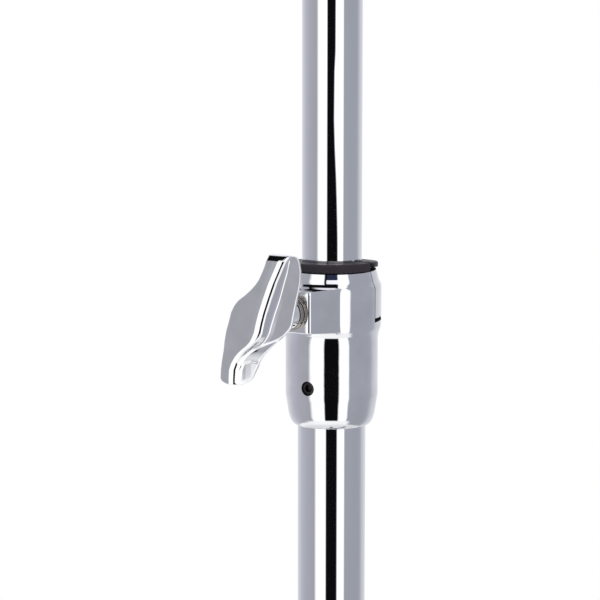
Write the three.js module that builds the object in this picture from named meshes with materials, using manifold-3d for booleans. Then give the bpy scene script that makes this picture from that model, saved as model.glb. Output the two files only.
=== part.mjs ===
// Hi-hat stand: a chromed two-tube stand with a height clamp, a folding tripod, a chain-driven
// pedal with an open spring, a tilting cymbal seat and a clutch.
// Millimetres, +Z up. The origin is on the tube axis at floor level, the pedal points along -Y and
// the boss of the height clamp along -X.

import * as THREE from 'three';
import { mergeVertices } from 'three/addons/utils/BufferGeometryUtils.js';
import Module from 'manifold-3d';

const wasm = await Module();
wasm.setup();

const FULL = 2 * Math.PI;
const QUARTER = Math.PI / 2;
const degrees = THREE.MathUtils.degToRad;

// Facets around the round forms
const WIDE = 32;
const ROUND = 20;
const SMALL = 12;
const HEX = 6;

// Fits shared by all pieces
const seatGap = 0.3; // between faces that rest on one another
const runGap = 0.3; // around what turns or slides
const overrun = 3; // how far a cut runs past the face it opens

// Finishes
const chrome = new THREE.MeshStandardMaterial({ color: 0xe4e6ea, roughness: 0.06, metalness: 1 });
const nickel = new THREE.MeshStandardMaterial({ color: 0xb9b2a6, roughness: 0.25, metalness: 1 });
const castAlloy = new THREE.MeshStandardMaterial({ color: 0xa9acb0, roughness: 0.4, metalness: 1 });
const darkSteel = new THREE.MeshStandardMaterial({ color: 0x2c2c30, roughness: 0.35, metalness: 1 });
const blackNylon = new THREE.MeshStandardMaterial({ color: 0x161416, roughness: 0.5, metalness: 0 });
const rubber = new THREE.MeshStandardMaterial({ color: 0x141415, roughness: 0.85, metalness: 0 });
const felt = new THREE.MeshStandardMaterial({ color: 0x3a3a3d, roughness: 1, metalness: 0 });

// A closed geometry as a solid that can be joined and cut. One that has no uv is a surface made
// here, whose vertices are shared already.
function solid(geometry) {
  let shared = geometry;
  if (geometry.attributes.uv) {
    const bare = geometry.clone();
    bare.deleteAttribute('normal');
    bare.deleteAttribute('uv');
    shared = mergeVertices(bare);
  }
  const mesh = new wasm.Mesh({
    numProp: 3,
    vertProperties: new Float32Array(shared.attributes.position.array),
    triVerts: new Uint32Array(shared.index.array),
  });
  return new wasm.Manifold(mesh);
}

// A solid's surface as a geometry
function surface(body) {
  const mesh = body.getMesh();
  const geometry = new THREE.BufferGeometry();
  geometry.setAttribute('position', new THREE.BufferAttribute(mesh.vertProperties, mesh.numProp));
  geometry.setIndex(new THREE.BufferAttribute(mesh.triVerts, 1));
  return geometry;
}

function joined(...pieces) {
  return surface(pieces.map(solid).reduce((whole, piece) => whole.add(piece)));
}

function cut(piece, ...tools) {
  return surface(tools.map(solid).reduce((whole, tool) => whole.subtract(tool), solid(piece)));
}

// A profile of [radius, height] points turned about Z; it starts and ends on the axis
function turned(profile, facets) {
  const points = profile.map(([radius, height]) => new THREE.Vector2(radius, height));
  const lathe = new THREE.LatheGeometry(points, facets);
  lathe.rotateX(QUARTER);
  return lathe;
}

function cylinder(radius, bottom, top, facets = ROUND) {
  return turned([[0, bottom], [radius, bottom], [radius, top], [0, top]], facets);
}

function ring(bore, radius, bottom, top, facets = ROUND) {
  return cut(cylinder(radius, bottom, top, facets),
    cylinder(bore, bottom - overrun, top + overrun, facets));
}

// A block between two corners
function block(low, high) {
  const size = high.map((value, axis) => value - low[axis]);
  const box = new THREE.BoxGeometry(...size);
  box.translate(...low.map((value, axis) => value + size[axis] / 2));
  return box;
}

// An outline of [x, y] points raised from one height to another
function raised(outline, bottom, top) {
  const shape = new THREE.Shape(outline.map(([x, y]) => new THREE.Vector2(x, y)));
  const prism = new THREE.ExtrudeGeometry(shape, { depth: top - bottom, bevelEnabled: false });
  prism.translate(0, 0, bottom);
  return prism;
}

// The same with its outline in Y and Z and its width along X
function acrossX(outline, from, to) {
  return turn(turn(raised(outline, from, to), [0, 0, 1], QUARTER), [0, 1, 0], QUARTER);
}

// The same with its outline in X and Z and its width along Y
function acrossY(outline, from, to) {
  return turn(raised(outline, -to, -from), [1, 0, 0], QUARTER);
}

function place(geometry, x, y, z) {
  return geometry.clone().translate(x, y, z);
}

// Turns a geometry about an axis through the origin
function turn(geometry, axis, angle) {
  const matrix = new THREE.Matrix4().makeRotationAxis(new THREE.Vector3(...axis), angle);
  return geometry.clone().applyMatrix4(matrix);
}

// Lays a form that was made along Z along X
function alongX(geometry) {
  return turn(geometry, [0, 1, 0], QUARTER);
}

// A cylinder about a line along X or Y through a point
function pinX(radius, from, to, y, z, facets = SMALL) {
  return place(turn(cylinder(radius, from, to, facets), [0, 1, 0], QUARTER), 0, y, z);
}

function pinY(radius, from, to, x, z, facets = SMALL) {
  return place(turn(cylinder(radius, from, to, facets), [1, 0, 0], -QUARTER), x, 0, z);
}

// The outline of a bar with two round ends of one radius, from the far end round to the near one
const roundSteps = 6;
function roundedBar(x0, y0, x1, y1, radius, steps = roundSteps) {
  const angle = Math.atan2(y1 - y0, x1 - x0);
  const outline = [];
  for (let step = 0; step <= steps; step += 1) {
    const around = angle - QUARTER + (step / steps) * Math.PI;
    outline.push([x1 + radius * Math.cos(around), y1 + radius * Math.sin(around)]);
  }
  for (let step = 0; step <= steps; step += 1) {
    const around = angle + QUARTER + (step / steps) * Math.PI;
    outline.push([x0 + radius * Math.cos(around), y0 + radius * Math.sin(around)]);
  }
  return outline;
}

// A round outline with scallops for a grip
function scalloped(radius, depth, count) {
  const outline = [];
  for (let step = 0; step < 2 * count; step += 1) {
    const around = (step / (2 * count)) * FULL;
    const reach = step % 2 === 0 ? radius : radius - depth;
    outline.push([reach * Math.cos(around), reach * Math.sin(around)]);
  }
  return outline;
}

const stand = new THREE.Group();

function add(name, geometry, material, group = stand) {
  geometry.computeVertexNormals();
  const mesh = new THREE.Mesh(geometry, material);
  mesh.name = name;
  group.add(mesh);
  return mesh;
}

// Tubes and pull rod
const lowerTubeRadius = 12.7;
const lowerTubeWall = 1.2;
const tubePlay = 0.4;
const upperTubeWall = 1.5;
const rodRadius = 3;
const lowerTubeBore = lowerTubeRadius - lowerTubeWall;
const upperTubeRadius = lowerTubeBore - tubePlay;
const upperTubeBore = upperTubeRadius - upperTubeWall;
const rodBore = rodRadius + runGap;

// Base casting: a beam on the floor, two arms, a shelf for the spring and a ring for the tube
const padThickness = 3;
const beamHeight = 11;
const beamHalfWidth = 46;
const beamHalfDepth = 15;
const armThickness = 12;
const yokeHalfDepth = 9;
const shelfHeight = 132;
const shelfThickness = 10;
const shelfHalfWidth = 38;
const yokeTopHalfWidth = 24;
const windowTopHalfWidth = 15;
const socketWall = 5;
const socketDepth = 26;
const lipThickness = 6.4;

// Spring and its adjuster
const knobRadius = 15.5;
const knobHeight = 8.5;
const knobScallop = 1.2;
const knobScallops = 18;
const seatSleeveRadius = 8;
const seatSleeveDrop = 4;
const seatFlangeRadius = 12;
const seatFlangeHeight = 3;
const springRadius = 8.6;
const springWire = 2.2;
const springLength = 55;
const springTurns = 7;
const rodCollarHeight = 6.5;
const rodCollarRadius = 11;
const bumperFlangeRadius = 12.5;
const bumperFlangeHeight = 3;
const bumperRadius = 10.5;

const beamBottom = padThickness + seatGap;
const beamTop = beamBottom + beamHeight;
const shelfTop = shelfHeight + shelfThickness;
const knobBottom = shelfTop + seatGap;
const knobTop = knobBottom + knobHeight;
const seatFlangeBottom = knobTop + seatGap;
const seatFlangeTop = seatFlangeBottom + seatFlangeHeight;
const springBottom = seatFlangeTop + seatGap;
const springTop = springBottom + springLength;
const rodCollarBottom = springTop + seatGap;
const rodCollarTop = rodCollarBottom + rodCollarHeight;
const bumperBottom = rodCollarTop + seatGap;
const ringBottom = bumperBottom + bumperFlangeHeight + seatGap;
const tubeBottom = ringBottom + lipThickness + seatGap;
const ringTop = tubeBottom + socketDepth;
const socketRadius = lowerTubeRadius + runGap + socketWall;

function makeBaseCasting() {
  const windowBottomHalf = beamHalfWidth - armThickness;
  const shelfWindowHalf = shelfHalfWidth - armThickness * 0.8;
  const outside = [
    [-beamHalfWidth, beamBottom],
    [beamHalfWidth, beamBottom],
    [beamHalfWidth, beamTop + beamHeight],
    [shelfHalfWidth, shelfHeight],
    [shelfHalfWidth, shelfTop],
    [yokeTopHalfWidth, ringBottom - beamHeight / 2],
    [socketRadius, ringBottom + beamHeight],
    [-socketRadius, ringBottom + beamHeight],
    [-yokeTopHalfWidth, ringBottom - beamHeight / 2],
    [-shelfHalfWidth, shelfTop],
    [-shelfHalfWidth, shelfHeight],
    [-beamHalfWidth, beamTop + beamHeight],
  ];
  const lowerWindow = [
    [-windowBottomHalf, beamTop],
    [windowBottomHalf, beamTop],
    [shelfWindowHalf, shelfHeight - shelfThickness],
    [shelfWindowHalf - shelfThickness, shelfHeight],
    [shelfThickness - shelfWindowHalf, shelfHeight],
    [-shelfWindowHalf, shelfHeight - shelfThickness],
  ];
  const upperWindow = [
    [-shelfWindowHalf, shelfTop],
    [shelfWindowHalf, shelfTop],
    [windowTopHalfWidth, ringBottom],
    [-windowTopHalfWidth, ringBottom],
  ];
  const plate = acrossY(outside, -yokeHalfDepth, yokeHalfDepth);
  const foot = block([-beamHalfWidth, -beamHalfDepth, beamBottom],
    [beamHalfWidth, beamHalfDepth, beamTop]);
  const socket = cylinder(socketRadius, ringBottom, ringTop, WIDE);
  const shelf = cylinder(knobRadius, shelfHeight, shelfTop);
  return cut(
    joined(cut(plate,
      acrossY(lowerWindow, -yokeHalfDepth - overrun, yokeHalfDepth + overrun),
      acrossY(upperWindow, -yokeHalfDepth - overrun, yokeHalfDepth + overrun)),
    foot, socket, shelf),
    cylinder(lowerTubeRadius + runGap, tubeBottom - seatGap, ringTop + overrun, WIDE),
    cylinder(bumperRadius + runGap, ringBottom - overrun, tubeBottom),
    cylinder(seatSleeveRadius + runGap, shelfHeight - overrun, shelfTop + overrun),
    radiusRodShape(1, seatGap),
    radiusRodShape(-1, seatGap),
  );
}

// Heel plate, hinge pin and radius rods
const heelPinY = -258;
const heelPinHeight = 20;
const heelPinRadius = 3;
const heelHalfWidth = 40;
const heelEarThickness = 7;
const heelEarRadius = 7.5;
const heelDepth = 78;
const heelRearHeight = 7;
const heelFrontHeight = 17;
const heelStep = 14;
const heelRecess = 4;
const radiusRodRadius = 3;
const radiusRodX = 27;
const radiusRodHeight = 8.8;
const radiusRodSeat = 10;

const heelBottom = padThickness + seatGap;
const heelRearY = heelPinY - heelDepth;
const heelFrontY = heelPinY - heelStep;
const heelBridgeY = heelPinY + heelStep;

// A straight rod between its sockets in the beam and in the heel plate's bridge. A clearance makes
// it the sockets' own form.
function radiusRodShape(side, clearance) {
  const from = heelBridgeY - radiusRodSeat - clearance;
  const to = -beamHalfDepth + radiusRodSeat + clearance;
  return pinY(radiusRodRadius + clearance, from, to, side * radiusRodX, radiusRodHeight, SMALL);
}

function makeHeelPlate() {
  const profile = [
    [heelRearY, heelBottom],
    [heelBridgeY, heelBottom],
    [heelBridgeY, heelBottom + heelPinHeight / 2],
    [heelPinY + heelEarRadius, heelBottom + heelRearHeight],
    [heelFrontY, heelBottom + heelRearHeight],
    [heelFrontY - heelRecess, heelBottom + heelFrontHeight],
    [heelRearY + heelEarRadius, heelBottom + heelRearHeight + heelRecess],
    [heelRearY, heelBottom + heelRearHeight],
  ];
  const ear = (from, to) => joined(
    pinX(heelEarRadius, from, to, heelPinY, heelPinHeight, ROUND),
    block([from, heelPinY - heelEarRadius, heelBottom],
      [to, heelPinY + heelEarRadius, heelPinHeight]),
  );
  const groove = (share) => {
    const y = heelRearY + share * heelDepth;
    return block([-heelHalfWidth + heelEarThickness, y, heelBottom + heelRearHeight + heelRecess],
      [heelHalfWidth - heelEarThickness, y + heelRecess / 2, heelBottom + 2 * heelFrontHeight]);
  };
  const body = joined(
    acrossX(profile, -heelHalfWidth, heelHalfWidth),
    ear(heelHalfWidth - heelEarThickness, heelHalfWidth),
    ear(-heelHalfWidth, heelEarThickness - heelHalfWidth),
  );
  return cut(body,
    pinX(heelPinRadius + runGap, -heelHalfWidth - overrun, heelHalfWidth + overrun,
      heelPinY, heelPinHeight),
    groove(0.25), groove(0.4), groove(0.55), groove(0.7),
    radiusRodShape(1, seatGap),
    radiusRodShape(-1, seatGap),
  );
}

add('base_casting', makeBaseCasting(), castAlloy);
add('base_pad', block([-beamHalfWidth, -beamHalfDepth, 0],
  [beamHalfWidth, beamHalfDepth, padThickness]), rubber);
add('heel_plate', makeHeelPlate(), castAlloy);
add('heel_pad', block([-heelHalfWidth, heelRearY, 0],
  [heelHalfWidth, heelFrontY, padThickness]), rubber);
add('heel_pin', pinX(heelPinRadius, -heelHalfWidth, heelHalfWidth, heelPinY, heelPinHeight),
  darkSteel);
add('radius_rod_left', radiusRodShape(-1, 0), chrome);
add('radius_rod_right', radiusRodShape(1, 0), chrome);

// Stop bumper: a nylon bush with a flange, pressed into the ring from below
add('stop_bumper', cut(joined(
  cylinder(bumperFlangeRadius, bumperBottom, bumperBottom + bumperFlangeHeight),
  cylinder(bumperRadius, bumperBottom, ringBottom + lipThickness),
), cylinder(rodBore, bumperBottom - overrun, tubeBottom + overrun, SMALL)), blackNylon);

// Spring adjuster: the captive knob lifts the threaded seat, which the spring stands on
add('tension_knob', cut(raised(scalloped(knobRadius, knobScallop, knobScallops), knobBottom, knobTop),
  cylinder(seatSleeveRadius + runGap, knobBottom - overrun, knobTop + overrun)), blackNylon);
add('spring_seat', cut(joined(
  cylinder(seatSleeveRadius, shelfHeight - seatSleeveDrop, seatFlangeBottom + seatGap),
  cylinder(seatFlangeRadius, seatFlangeBottom, seatFlangeTop),
), cylinder(rodBore, shelfHeight - seatSleeveDrop - overrun, seatFlangeTop + overrun, SMALL)), blackNylon);

// Return spring: one unbroken wire with its ends running straight for one wire diameter
function makeSpring() {
  const stepsPerTurn = 8;
  const sides = 5;
  const steps = springTurns * stepsPerTurn;
  const wireRadius = springWire / 2;
  const rise = springLength - springWire;
  const centres = [];
  for (let step = 0; step <= steps; step += 1) {
    const around = (step / stepsPerTurn) * FULL;
    const height = springBottom + wireRadius + (step / steps) * rise;
    centres.push(new THREE.Vector3(springRadius * Math.cos(around),
      springRadius * Math.sin(around), height));
  }
  const along = (step, sign) => {
    const around = (step / stepsPerTurn) * FULL;
    const way = new THREE.Vector3(-Math.sin(around), Math.cos(around), 0);
    return centres[step].clone().addScaledVector(way, sign * springWire);
  };
  const path = [along(0, -1), ...centres, along(steps, 1)];
  const positions = [];
  path.forEach((centre, index) => {
    const step = Math.min(Math.max(index - 1, 0), steps);
    const around = (step / stepsPerTurn) * FULL;
    const outward = new THREE.Vector3(Math.cos(around), Math.sin(around), 0);
    for (let side = 0; side < sides; side += 1) {
      const turnAngle = (side / sides) * FULL;
      const point = centre.clone()
        .addScaledVector(outward, wireRadius * Math.cos(turnAngle))
        .add(new THREE.Vector3(0, 0, wireRadius * Math.sin(turnAngle)));
      positions.push(point.x, point.y, point.z);
    }
  });
  const index = [];
  const rings = path.length;
  for (let row = 0; row < rings - 1; row += 1) {
    for (let side = 0; side < sides; side += 1) {
      const next = (side + 1) % sides;
      const a = row * sides + side;
      const b = row * sides + next;
      const c = a + sides;
      const d = b + sides;
      index.push(a, c, b, b, c, d);
    }
  }
  for (let side = 1; side < sides - 1; side += 1) {
    index.push(0, side, side + 1);
    const last = (rings - 1) * sides;
    index.push(last, last + side + 1, last + side);
  }
  const wire = new THREE.BufferGeometry();
  wire.setAttribute('position', new THREE.Float32BufferAttribute(positions, 3));
  wire.setIndex(index);
  console.log(`return_spring: least gap to itself ${leastGap(path, stepsPerTurn).toFixed(2)} mm`);
  return wire;
}

// The least gap between points of a wire's centre line that lie over half a turn apart along it,
// less the wire's thickness
function leastGap(path, stepsPerTurn) {
  let least = Infinity;
  path.forEach((point, index) => {
    path.slice(index + stepsPerTurn / 2).forEach((other) => {
      least = Math.min(least, point.distanceTo(other) - springWire);
    });
  });
  return least;
}

add('return_spring', makeSpring(), darkSteel);

// Pull rod: lower rod with collar and clevis, coupling nut, upper rod
const clevisClearance = 2;
const clevisHalfWidth = 8;
const clevisHalfDepth = 5.5;
const clevisDrop = 6;
const clevisRise = 13;
const clevisSlotRise = 6.5;
const chainPitch = 12.7;
const chainLinks = 3;
const chainPinRadius = 1.8;
const chainPlate = 1.2;
const innerLinkHalf = 3.1;
const plateRadius = 4.6;
const toePinPlay = 0.7;
const toePinOffset = 2.3;

const clevisTop = shelfHeight - seatSleeveDrop - clevisClearance;
const clevisPinHeight = clevisTop - clevisRise;
const clevisSlotHalf = innerLinkHalf + runGap;
const lowerRodBottom = clevisPinHeight + clevisSlotRise + seatGap;
const chainLength = chainLinks * chainPitch;
const chainLean = Math.asin(toePinOffset / chainLength);
const toePinHeight = clevisPinHeight - chainLength * Math.cos(chainLean);

function makeClevis() {
  const body = block([-clevisHalfWidth, -clevisHalfDepth, clevisPinHeight - clevisDrop],
    [clevisHalfWidth, clevisHalfDepth, clevisTop]);
  const slot = block(
    [-clevisSlotHalf, -clevisHalfDepth - overrun, clevisPinHeight - clevisDrop - overrun],
    [clevisSlotHalf, clevisHalfDepth + overrun, clevisPinHeight + clevisSlotRise]);
  return joined(
    cut(body, slot, cylinder(rodBore, clevisPinHeight, clevisTop + overrun, SMALL)),
    pinX(chainPinRadius, -clevisHalfWidth, clevisHalfWidth, 0, clevisPinHeight, SMALL),
  );
}

add('rod_clevis', makeClevis(), nickel);
add('rod_collar', ring(rodBore, rodCollarRadius, rodCollarBottom, rodCollarTop), nickel);

// Chain: inner links carry bushes, the outer link between them carries the pins. It hangs from the
// clevis pin and leans a little towards the heel.
function linkPlate(from, to, low, high) {
  return acrossX(roundedBar(0, low, 0, high, plateRadius), from, to);
}

function makeInnerLink(place, bottomPlay) {
  const top = -place * chainPitch;
  const low = top - chainPitch;
  const bushRadius = plateRadius - chainPlate / 2;
  const inside = innerLinkHalf - chainPlate;
  const body = joined(
    linkPlate(inside, innerLinkHalf, low, top),
    linkPlate(-innerLinkHalf, -inside, low, top),
    pinX(bushRadius, -inside, inside, 0, top, SMALL),
    pinX(bushRadius, -inside, inside, 0, low, SMALL),
  );
  return cut(body,
    pinX(chainPinRadius + runGap, -clevisHalfWidth, clevisHalfWidth, 0, top, SMALL),
    pinX(chainPinRadius + bottomPlay, -clevisHalfWidth, clevisHalfWidth, 0, low, SMALL));
}

function makeOuterLink(place) {
  const top = -place * chainPitch;
  const low = top - chainPitch;
  const inside = innerLinkHalf + runGap;
  const outside = inside + chainPlate;
  return joined(
    linkPlate(inside, outside, low, top),
    linkPlate(-outside, -inside, low, top),
    pinX(chainPinRadius, -outside, outside, 0, top, SMALL),
    pinX(chainPinRadius, -outside, outside, 0, low, SMALL),
  );
}

const chain = new THREE.Group();
chain.position.z = clevisPinHeight;
chain.rotation.x = -chainLean;
stand.add(chain);
add('chain_link_1', makeInnerLink(0, runGap), nickel, chain);
add('chain_link_2', makeOuterLink(1), nickel, chain);
add('chain_link_3', makeInnerLink(2, toePinPlay), nickel, chain);

// Footboard: built flat from its hinge towards the toe, then tilted about the heel pin
const boardUnder = 4;
const boardThickness = 5;
const boardHeelHalf = 32;
const boardWideHalf = 44;
const boardToeHalf = 22;
const boardRib = 9;
const boardRibWidth = 4;
const boardHubRadius = 7;
const boardSideGap = 1;
const bracketPlate = 3;
const toeClearance = 16;

const toePinY = -toePinOffset;
const footTilt = Math.atan2(toePinHeight - heelPinHeight, toePinY - heelPinY);
const toeReach = Math.hypot(toePinHeight - heelPinHeight, toePinY - heelPinY);
const boardLength = toeReach - toeClearance;
const boardTop = boardUnder + boardThickness;
const hubHalf = heelHalfWidth - heelEarThickness - boardSideGap;

function makeFootboard() {
  const widthShares = [
    [0.05, boardHeelHalf],
    [0.16, boardWideHalf],
    [0.6, boardWideHalf],
    [0.84, boardToeHalf * 1.3],
    [0.97, boardToeHalf],
    [1, boardToeHalf * 0.7],
  ];
  const right = widthShares.map(([share, half]) => [half, share * boardLength]);
  const left = right.map(([half, along]) => [-half, along]).reverse();
  const outline = [...right, ...left];
  const inward = (points, inset) => points.map(([half, along]) => [
    half - Math.sign(half) * inset,
    Math.min(Math.max(along, outline[0][1] + inset), boardLength - inset),
  ]);
  const window = (from, to, halfFrom, halfTo) => {
    const low = from * boardLength;
    const high = to * boardLength;
    return raised([[-halfFrom, low], [halfFrom, low], [halfTo, high], [-halfTo, high]],
      boardUnder - boardRib - overrun, boardTop + overrun);
  };
  const plate = raised(outline, boardUnder, boardTop);
  const skirt = cut(raised(outline, boardUnder - boardRib, boardUnder + seatGap),
    raised(inward(outline, boardRibWidth), boardUnder - boardRib - overrun, boardUnder));
  const keptSkirt = cut(skirt, block(
    [-2 * boardWideHalf, 0, boardUnder - boardRib - overrun],
    [2 * boardWideHalf, 0.2 * boardLength, boardUnder]),
  block([-2 * boardWideHalf, 0.9 * boardLength, boardUnder - boardRib - overrun],
    [2 * boardWideHalf, 2 * boardLength, boardUnder]));
  const hub = joined(
    pinX(boardHubRadius, -hubHalf, hubHalf, 0, 0, ROUND),
    block([-boardHeelHalf, 0, -boardUnder], [boardHeelHalf, 0.09 * boardLength, boardTop]),
  );
  const slotHalf = boardToeHalf / 8;
  const slots = [];
  for (const side of [-1, 0, 1]) {
    const centre = side * boardToeHalf * 0.9;
    slots.push(place(window(0.3, 0.72, slotHalf, slotHalf), centre, 0, 0));
  }
  return cut(joined(plate, keptSkirt, hub), ...slots,
    pinX(heelPinRadius + runGap, -boardWideHalf, boardWideHalf, 0, 0));
}

// The bracket bolts under the toe of the board and its ears hold the chain's last pin
function makeToeBracket() {
  const earInside = innerLinkHalf + runGap;
  const earOutside = earInside + bracketPlate;
  const under = boardUnder - seatGap;
  const rootShare = 0.82;
  const ear = (from, to) => acrossX(
    roundedBar(rootShare * boardLength + plateRadius, under - plateRadius,
      toeReach, 0, plateRadius), from, to);
  const base = block([-earOutside, rootShare * boardLength, under - bracketPlate],
    [earOutside, boardLength, under]);
  const trimmed = cut(joined(ear(earInside, earOutside), ear(-earOutside, -earInside)),
    block([-boardWideHalf, 0, under], [boardWideHalf, boardLength + overrun, boardTop * 2]));
  return joined(trimmed, base,
    pinX(chainPinRadius, -earOutside, earOutside, toeReach, 0, SMALL));
}

const pedal = new THREE.Group();
pedal.position.set(0, heelPinY, heelPinHeight);
pedal.rotation.x = footTilt;
stand.add(pedal);
add('footboard', makeFootboard(), castAlloy, pedal);
add('toe_bracket', makeToeBracket(), nickel, pedal);

// Tripod's pivots. The braces are as long as the legs' upper ends, so both collars keep to the tube
// as the legs fold.
const tripodGlideWall = 1.6;
const tripodFlange = 2.5;
const lowerCollarHalf = 10;
const pivotSpan = 152;
const pivotReach = 26;
const legAngle = 34;
const sleeveBore = lowerTubeRadius + runGap;
const sleeveRadius = sleeveBore + tripodGlideWall;
const tripodBore = sleeveRadius + runGap;
const lowerPivotHeight = ringTop + seatGap + tripodFlange + seatGap + lowerCollarHalf;
const upperPivotHeight = lowerPivotHeight + pivotSpan;

// Height clamp: a cast collar fixed on the lower tube, with a bell below and a flexing ring above
const collarRise = 136.4;
const collarHeight = 57.4;
const bellRadius = 17.2;
const bellRimRadius = 14.5;
const bellTaper = 11;
const bellRimRound = 1.6;
const shoulderDrop = 18.9;
const shoulderHeight = 6.8;
const clampRadius = 18.4;
const clampTopRound = 5;
const clampTopRadius = 17.2;
const ringDepth = 21.4;
const bushingWall = 3.5;
const bushingFlangeRadius = 17.1;
const bushingFlangeHeight = 4.4;
const bushingLength = 19;
const bushingSlit = 2.5;
const bossReach = 27;
const bossHalfWidth = 7.5;
const bossRootHalf = 12.5;
const bossRootReach = 13.5;
const bossDrop = 4.8;
const bossHeight = 14.9;
const bossEdge = 0.8;
const boltRadius = 4;
const padLength = 6;
const slitWidth = 1;
const slitAngle = 94;
const reliefDrop = 18.4;
const reliefHeight = 1.5;
const reliefAngle = 170;
const setScrewRadius = 2.4;
const setScrewHeight = 12.5;
const setScrewSocket = 1.3;
const setScrewRecess = 0.4;

const collarBottom = upperPivotHeight + collarRise;
const bellBore = lowerTubeRadius + runGap;
const bushingBore = upperTubeRadius + runGap;
const bushingRadius = bushingBore + bushingWall - runGap;
const clampBore = bushingRadius + runGap;
const bellDepth = collarHeight - ringDepth;
const shoulderTop = collarHeight - shoulderDrop;
const shoulderBottom = shoulderTop - shoulderHeight;
const bossTop = collarHeight - bossDrop;
const bossBottom = bossTop - bossHeight;
const reliefBottom = collarHeight - reliefDrop;
const boltHeight = (bossBottom + bossTop) / 2;

// Outline of the collar from its lower rim to its top edge
function collarProfile() {
  return [
    [0, 0],
    [bellRimRadius, 0],
    [bellRimRadius + bellRimRound / 2, bellRimRound],
    [(bellRimRadius + bellRadius * 2) / 3, bellTaper / 2],
    [bellRadius, bellTaper],
    [bellRadius, shoulderBottom],
    [(bellRadius + clampRadius) / 2, (shoulderBottom + shoulderTop) / 2],
    [clampRadius, shoulderTop],
    [clampRadius, collarHeight - clampTopRound],
    [(clampRadius * 2 + clampTopRadius) / 3, collarHeight - clampTopRound / 2],
    [clampTopRadius, collarHeight],
    [0, collarHeight],
  ];
}

function makeCollar() {
  const edge = bossEdge;
  const bossOutline = [
    [0, -bossRootHalf],
    [bossRootReach, -bossRootHalf],
    [bossReach - edge, -bossHalfWidth],
    [bossReach, edge - bossHalfWidth],
    [bossReach, bossHalfWidth - edge],
    [bossReach - edge, bossHalfWidth],
    [bossRootReach, bossRootHalf],
    [0, bossRootHalf],
  ];
  const sector = [[0, 0]];
  const steps = 12;
  for (let step = 0; step <= steps; step += 1) {
    const around = degrees(slitAngle + (step / steps) * reliefAngle);
    sector.push([2 * clampRadius * Math.cos(around), 2 * clampRadius * Math.sin(around)]);
  }
  const slit = turn(block([0, -slitWidth / 2, reliefBottom],
    [2 * clampRadius, slitWidth / 2, collarHeight + overrun]), [0, 0, 1], degrees(slitAngle));
  return cut(
    joined(turned(collarProfile(), WIDE), raised(bossOutline, bossBottom, bossTop)),
    cylinder(bellBore, -overrun, bellDepth, WIDE),
    cylinder(clampBore, bellDepth + seatGap * 2, collarHeight + overrun, WIDE),
    cylinder(upperTubeRadius + tubePlay, 0, collarHeight, WIDE),
    place(alongX(cylinder(boltRadius + runGap, clampBore - overrun, bossReach + overrun, SMALL)),
      0, 0, boltHeight),
    raised(sector, reliefBottom, reliefBottom + reliefHeight),
    slit,
    place(alongX(cylinder(setScrewRadius + runGap, bellBore - overrun, bellRadius + overrun, SMALL)),
      0, 0, setScrewHeight),
  );
}

function makeBushing() {
  const body = joined(
    cylinder(bushingRadius, collarHeight - bushingLength, collarHeight + seatGap * 2, WIDE),
    cylinder(bushingFlangeRadius, collarHeight + seatGap,
      collarHeight + seatGap + bushingFlangeHeight, WIDE),
  );
  const slit = turn(block([0, -bushingSlit / 2, 0],
    [2 * bushingFlangeRadius, bushingSlit / 2, 2 * collarHeight]), [0, 0, 1], degrees(slitAngle));
  return cut(body, cylinder(bushingBore, 0, 2 * collarHeight, WIDE), slit);
}

function makeSetScrew() {
  const screw = cylinder(setScrewRadius, lowerTubeRadius + seatGap, bellRadius - setScrewRecess,
    SMALL);
  const socket = cylinder(setScrewSocket, (lowerTubeRadius + bellRadius) / 2,
    bellRadius + overrun, HEX);
  return place(alongX(cut(screw, socket)), 0, 0, setScrewHeight);
}

const clamp = new THREE.Group();
clamp.position.z = collarBottom;
clamp.rotation.z = Math.PI;
stand.add(clamp);
add('height_collar', makeCollar(), chrome, clamp);
add('height_bushing', makeBushing(), blackNylon, clamp);
add('collar_set_screw', makeSetScrew(), darkSteel, clamp);
const padStart = clampBore + seatGap;
const padEnd = padStart + padLength;
add('pressure_pad', place(alongX(cylinder(boltRadius, padStart, padEnd, SMALL)),
  0, 0, boltHeight), blackNylon, clamp);

// Wing screw: a threaded shank, a round hub and two broad blades, made along +X
const washerRadius = 6.4;
const washerThickness = 1.5;
const spacerThickness = 1.9;
const spacerRadius = 6.1;
const hubRadius = 5.8;
const hubLength = 13;
const bladeHalfLength = 24;
const bladeThickness = 6.5;
const bladeSetback = 2.5;
const grooveDepth = 3.6;
const edgeShare = 0.1;
const sideShare = 0.5;
const roundShare = 0.88;

// Stations along the blades as shares of their half length: height, left edge, ridge, groove,
// finger rest, right edge, and the groove's depth as a share of its full depth
const bladeShares = [
  [-0.975, -0.62, -0.52, -0.46, -0.41, -0.36, 0.5],
  [-0.92, -0.7, -0.5, -0.38, -0.29, -0.22, 1],
  [-0.71, -0.69, -0.45, -0.27, -0.15, -0.04, 1.2],
  [-0.5, -0.65, -0.27, -0.1, -0.02, 0.07, 1],
  [-0.33, -0.61, -0.14, 0.04, 0.14, 0.22, 0.8],
  [-0.17, -0.55, -0.05, 0.15, 0.27, 0.42, 0.8],
  [0, -0.525, 0, 0.19, 0.32, 0.525, 1],
  [0.17, -0.42, 0.06, 0.23, 0.37, 0.55, 1.1],
  [0.33, -0.22, 0.12, 0.29, 0.44, 0.61, 1.1],
  [0.5, -0.07, 0.19, 0.33, 0.47, 0.65, 1],
  [0.71, 0.04, 0.28, 0.39, 0.5, 0.69, 0.8],
  [0.92, 0.22, 0.37, 0.44, 0.54, 0.7, 0.4],
  [0.975, 0.36, 0.4, 0.44, 0.52, 0.62, 0.15],
];

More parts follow.
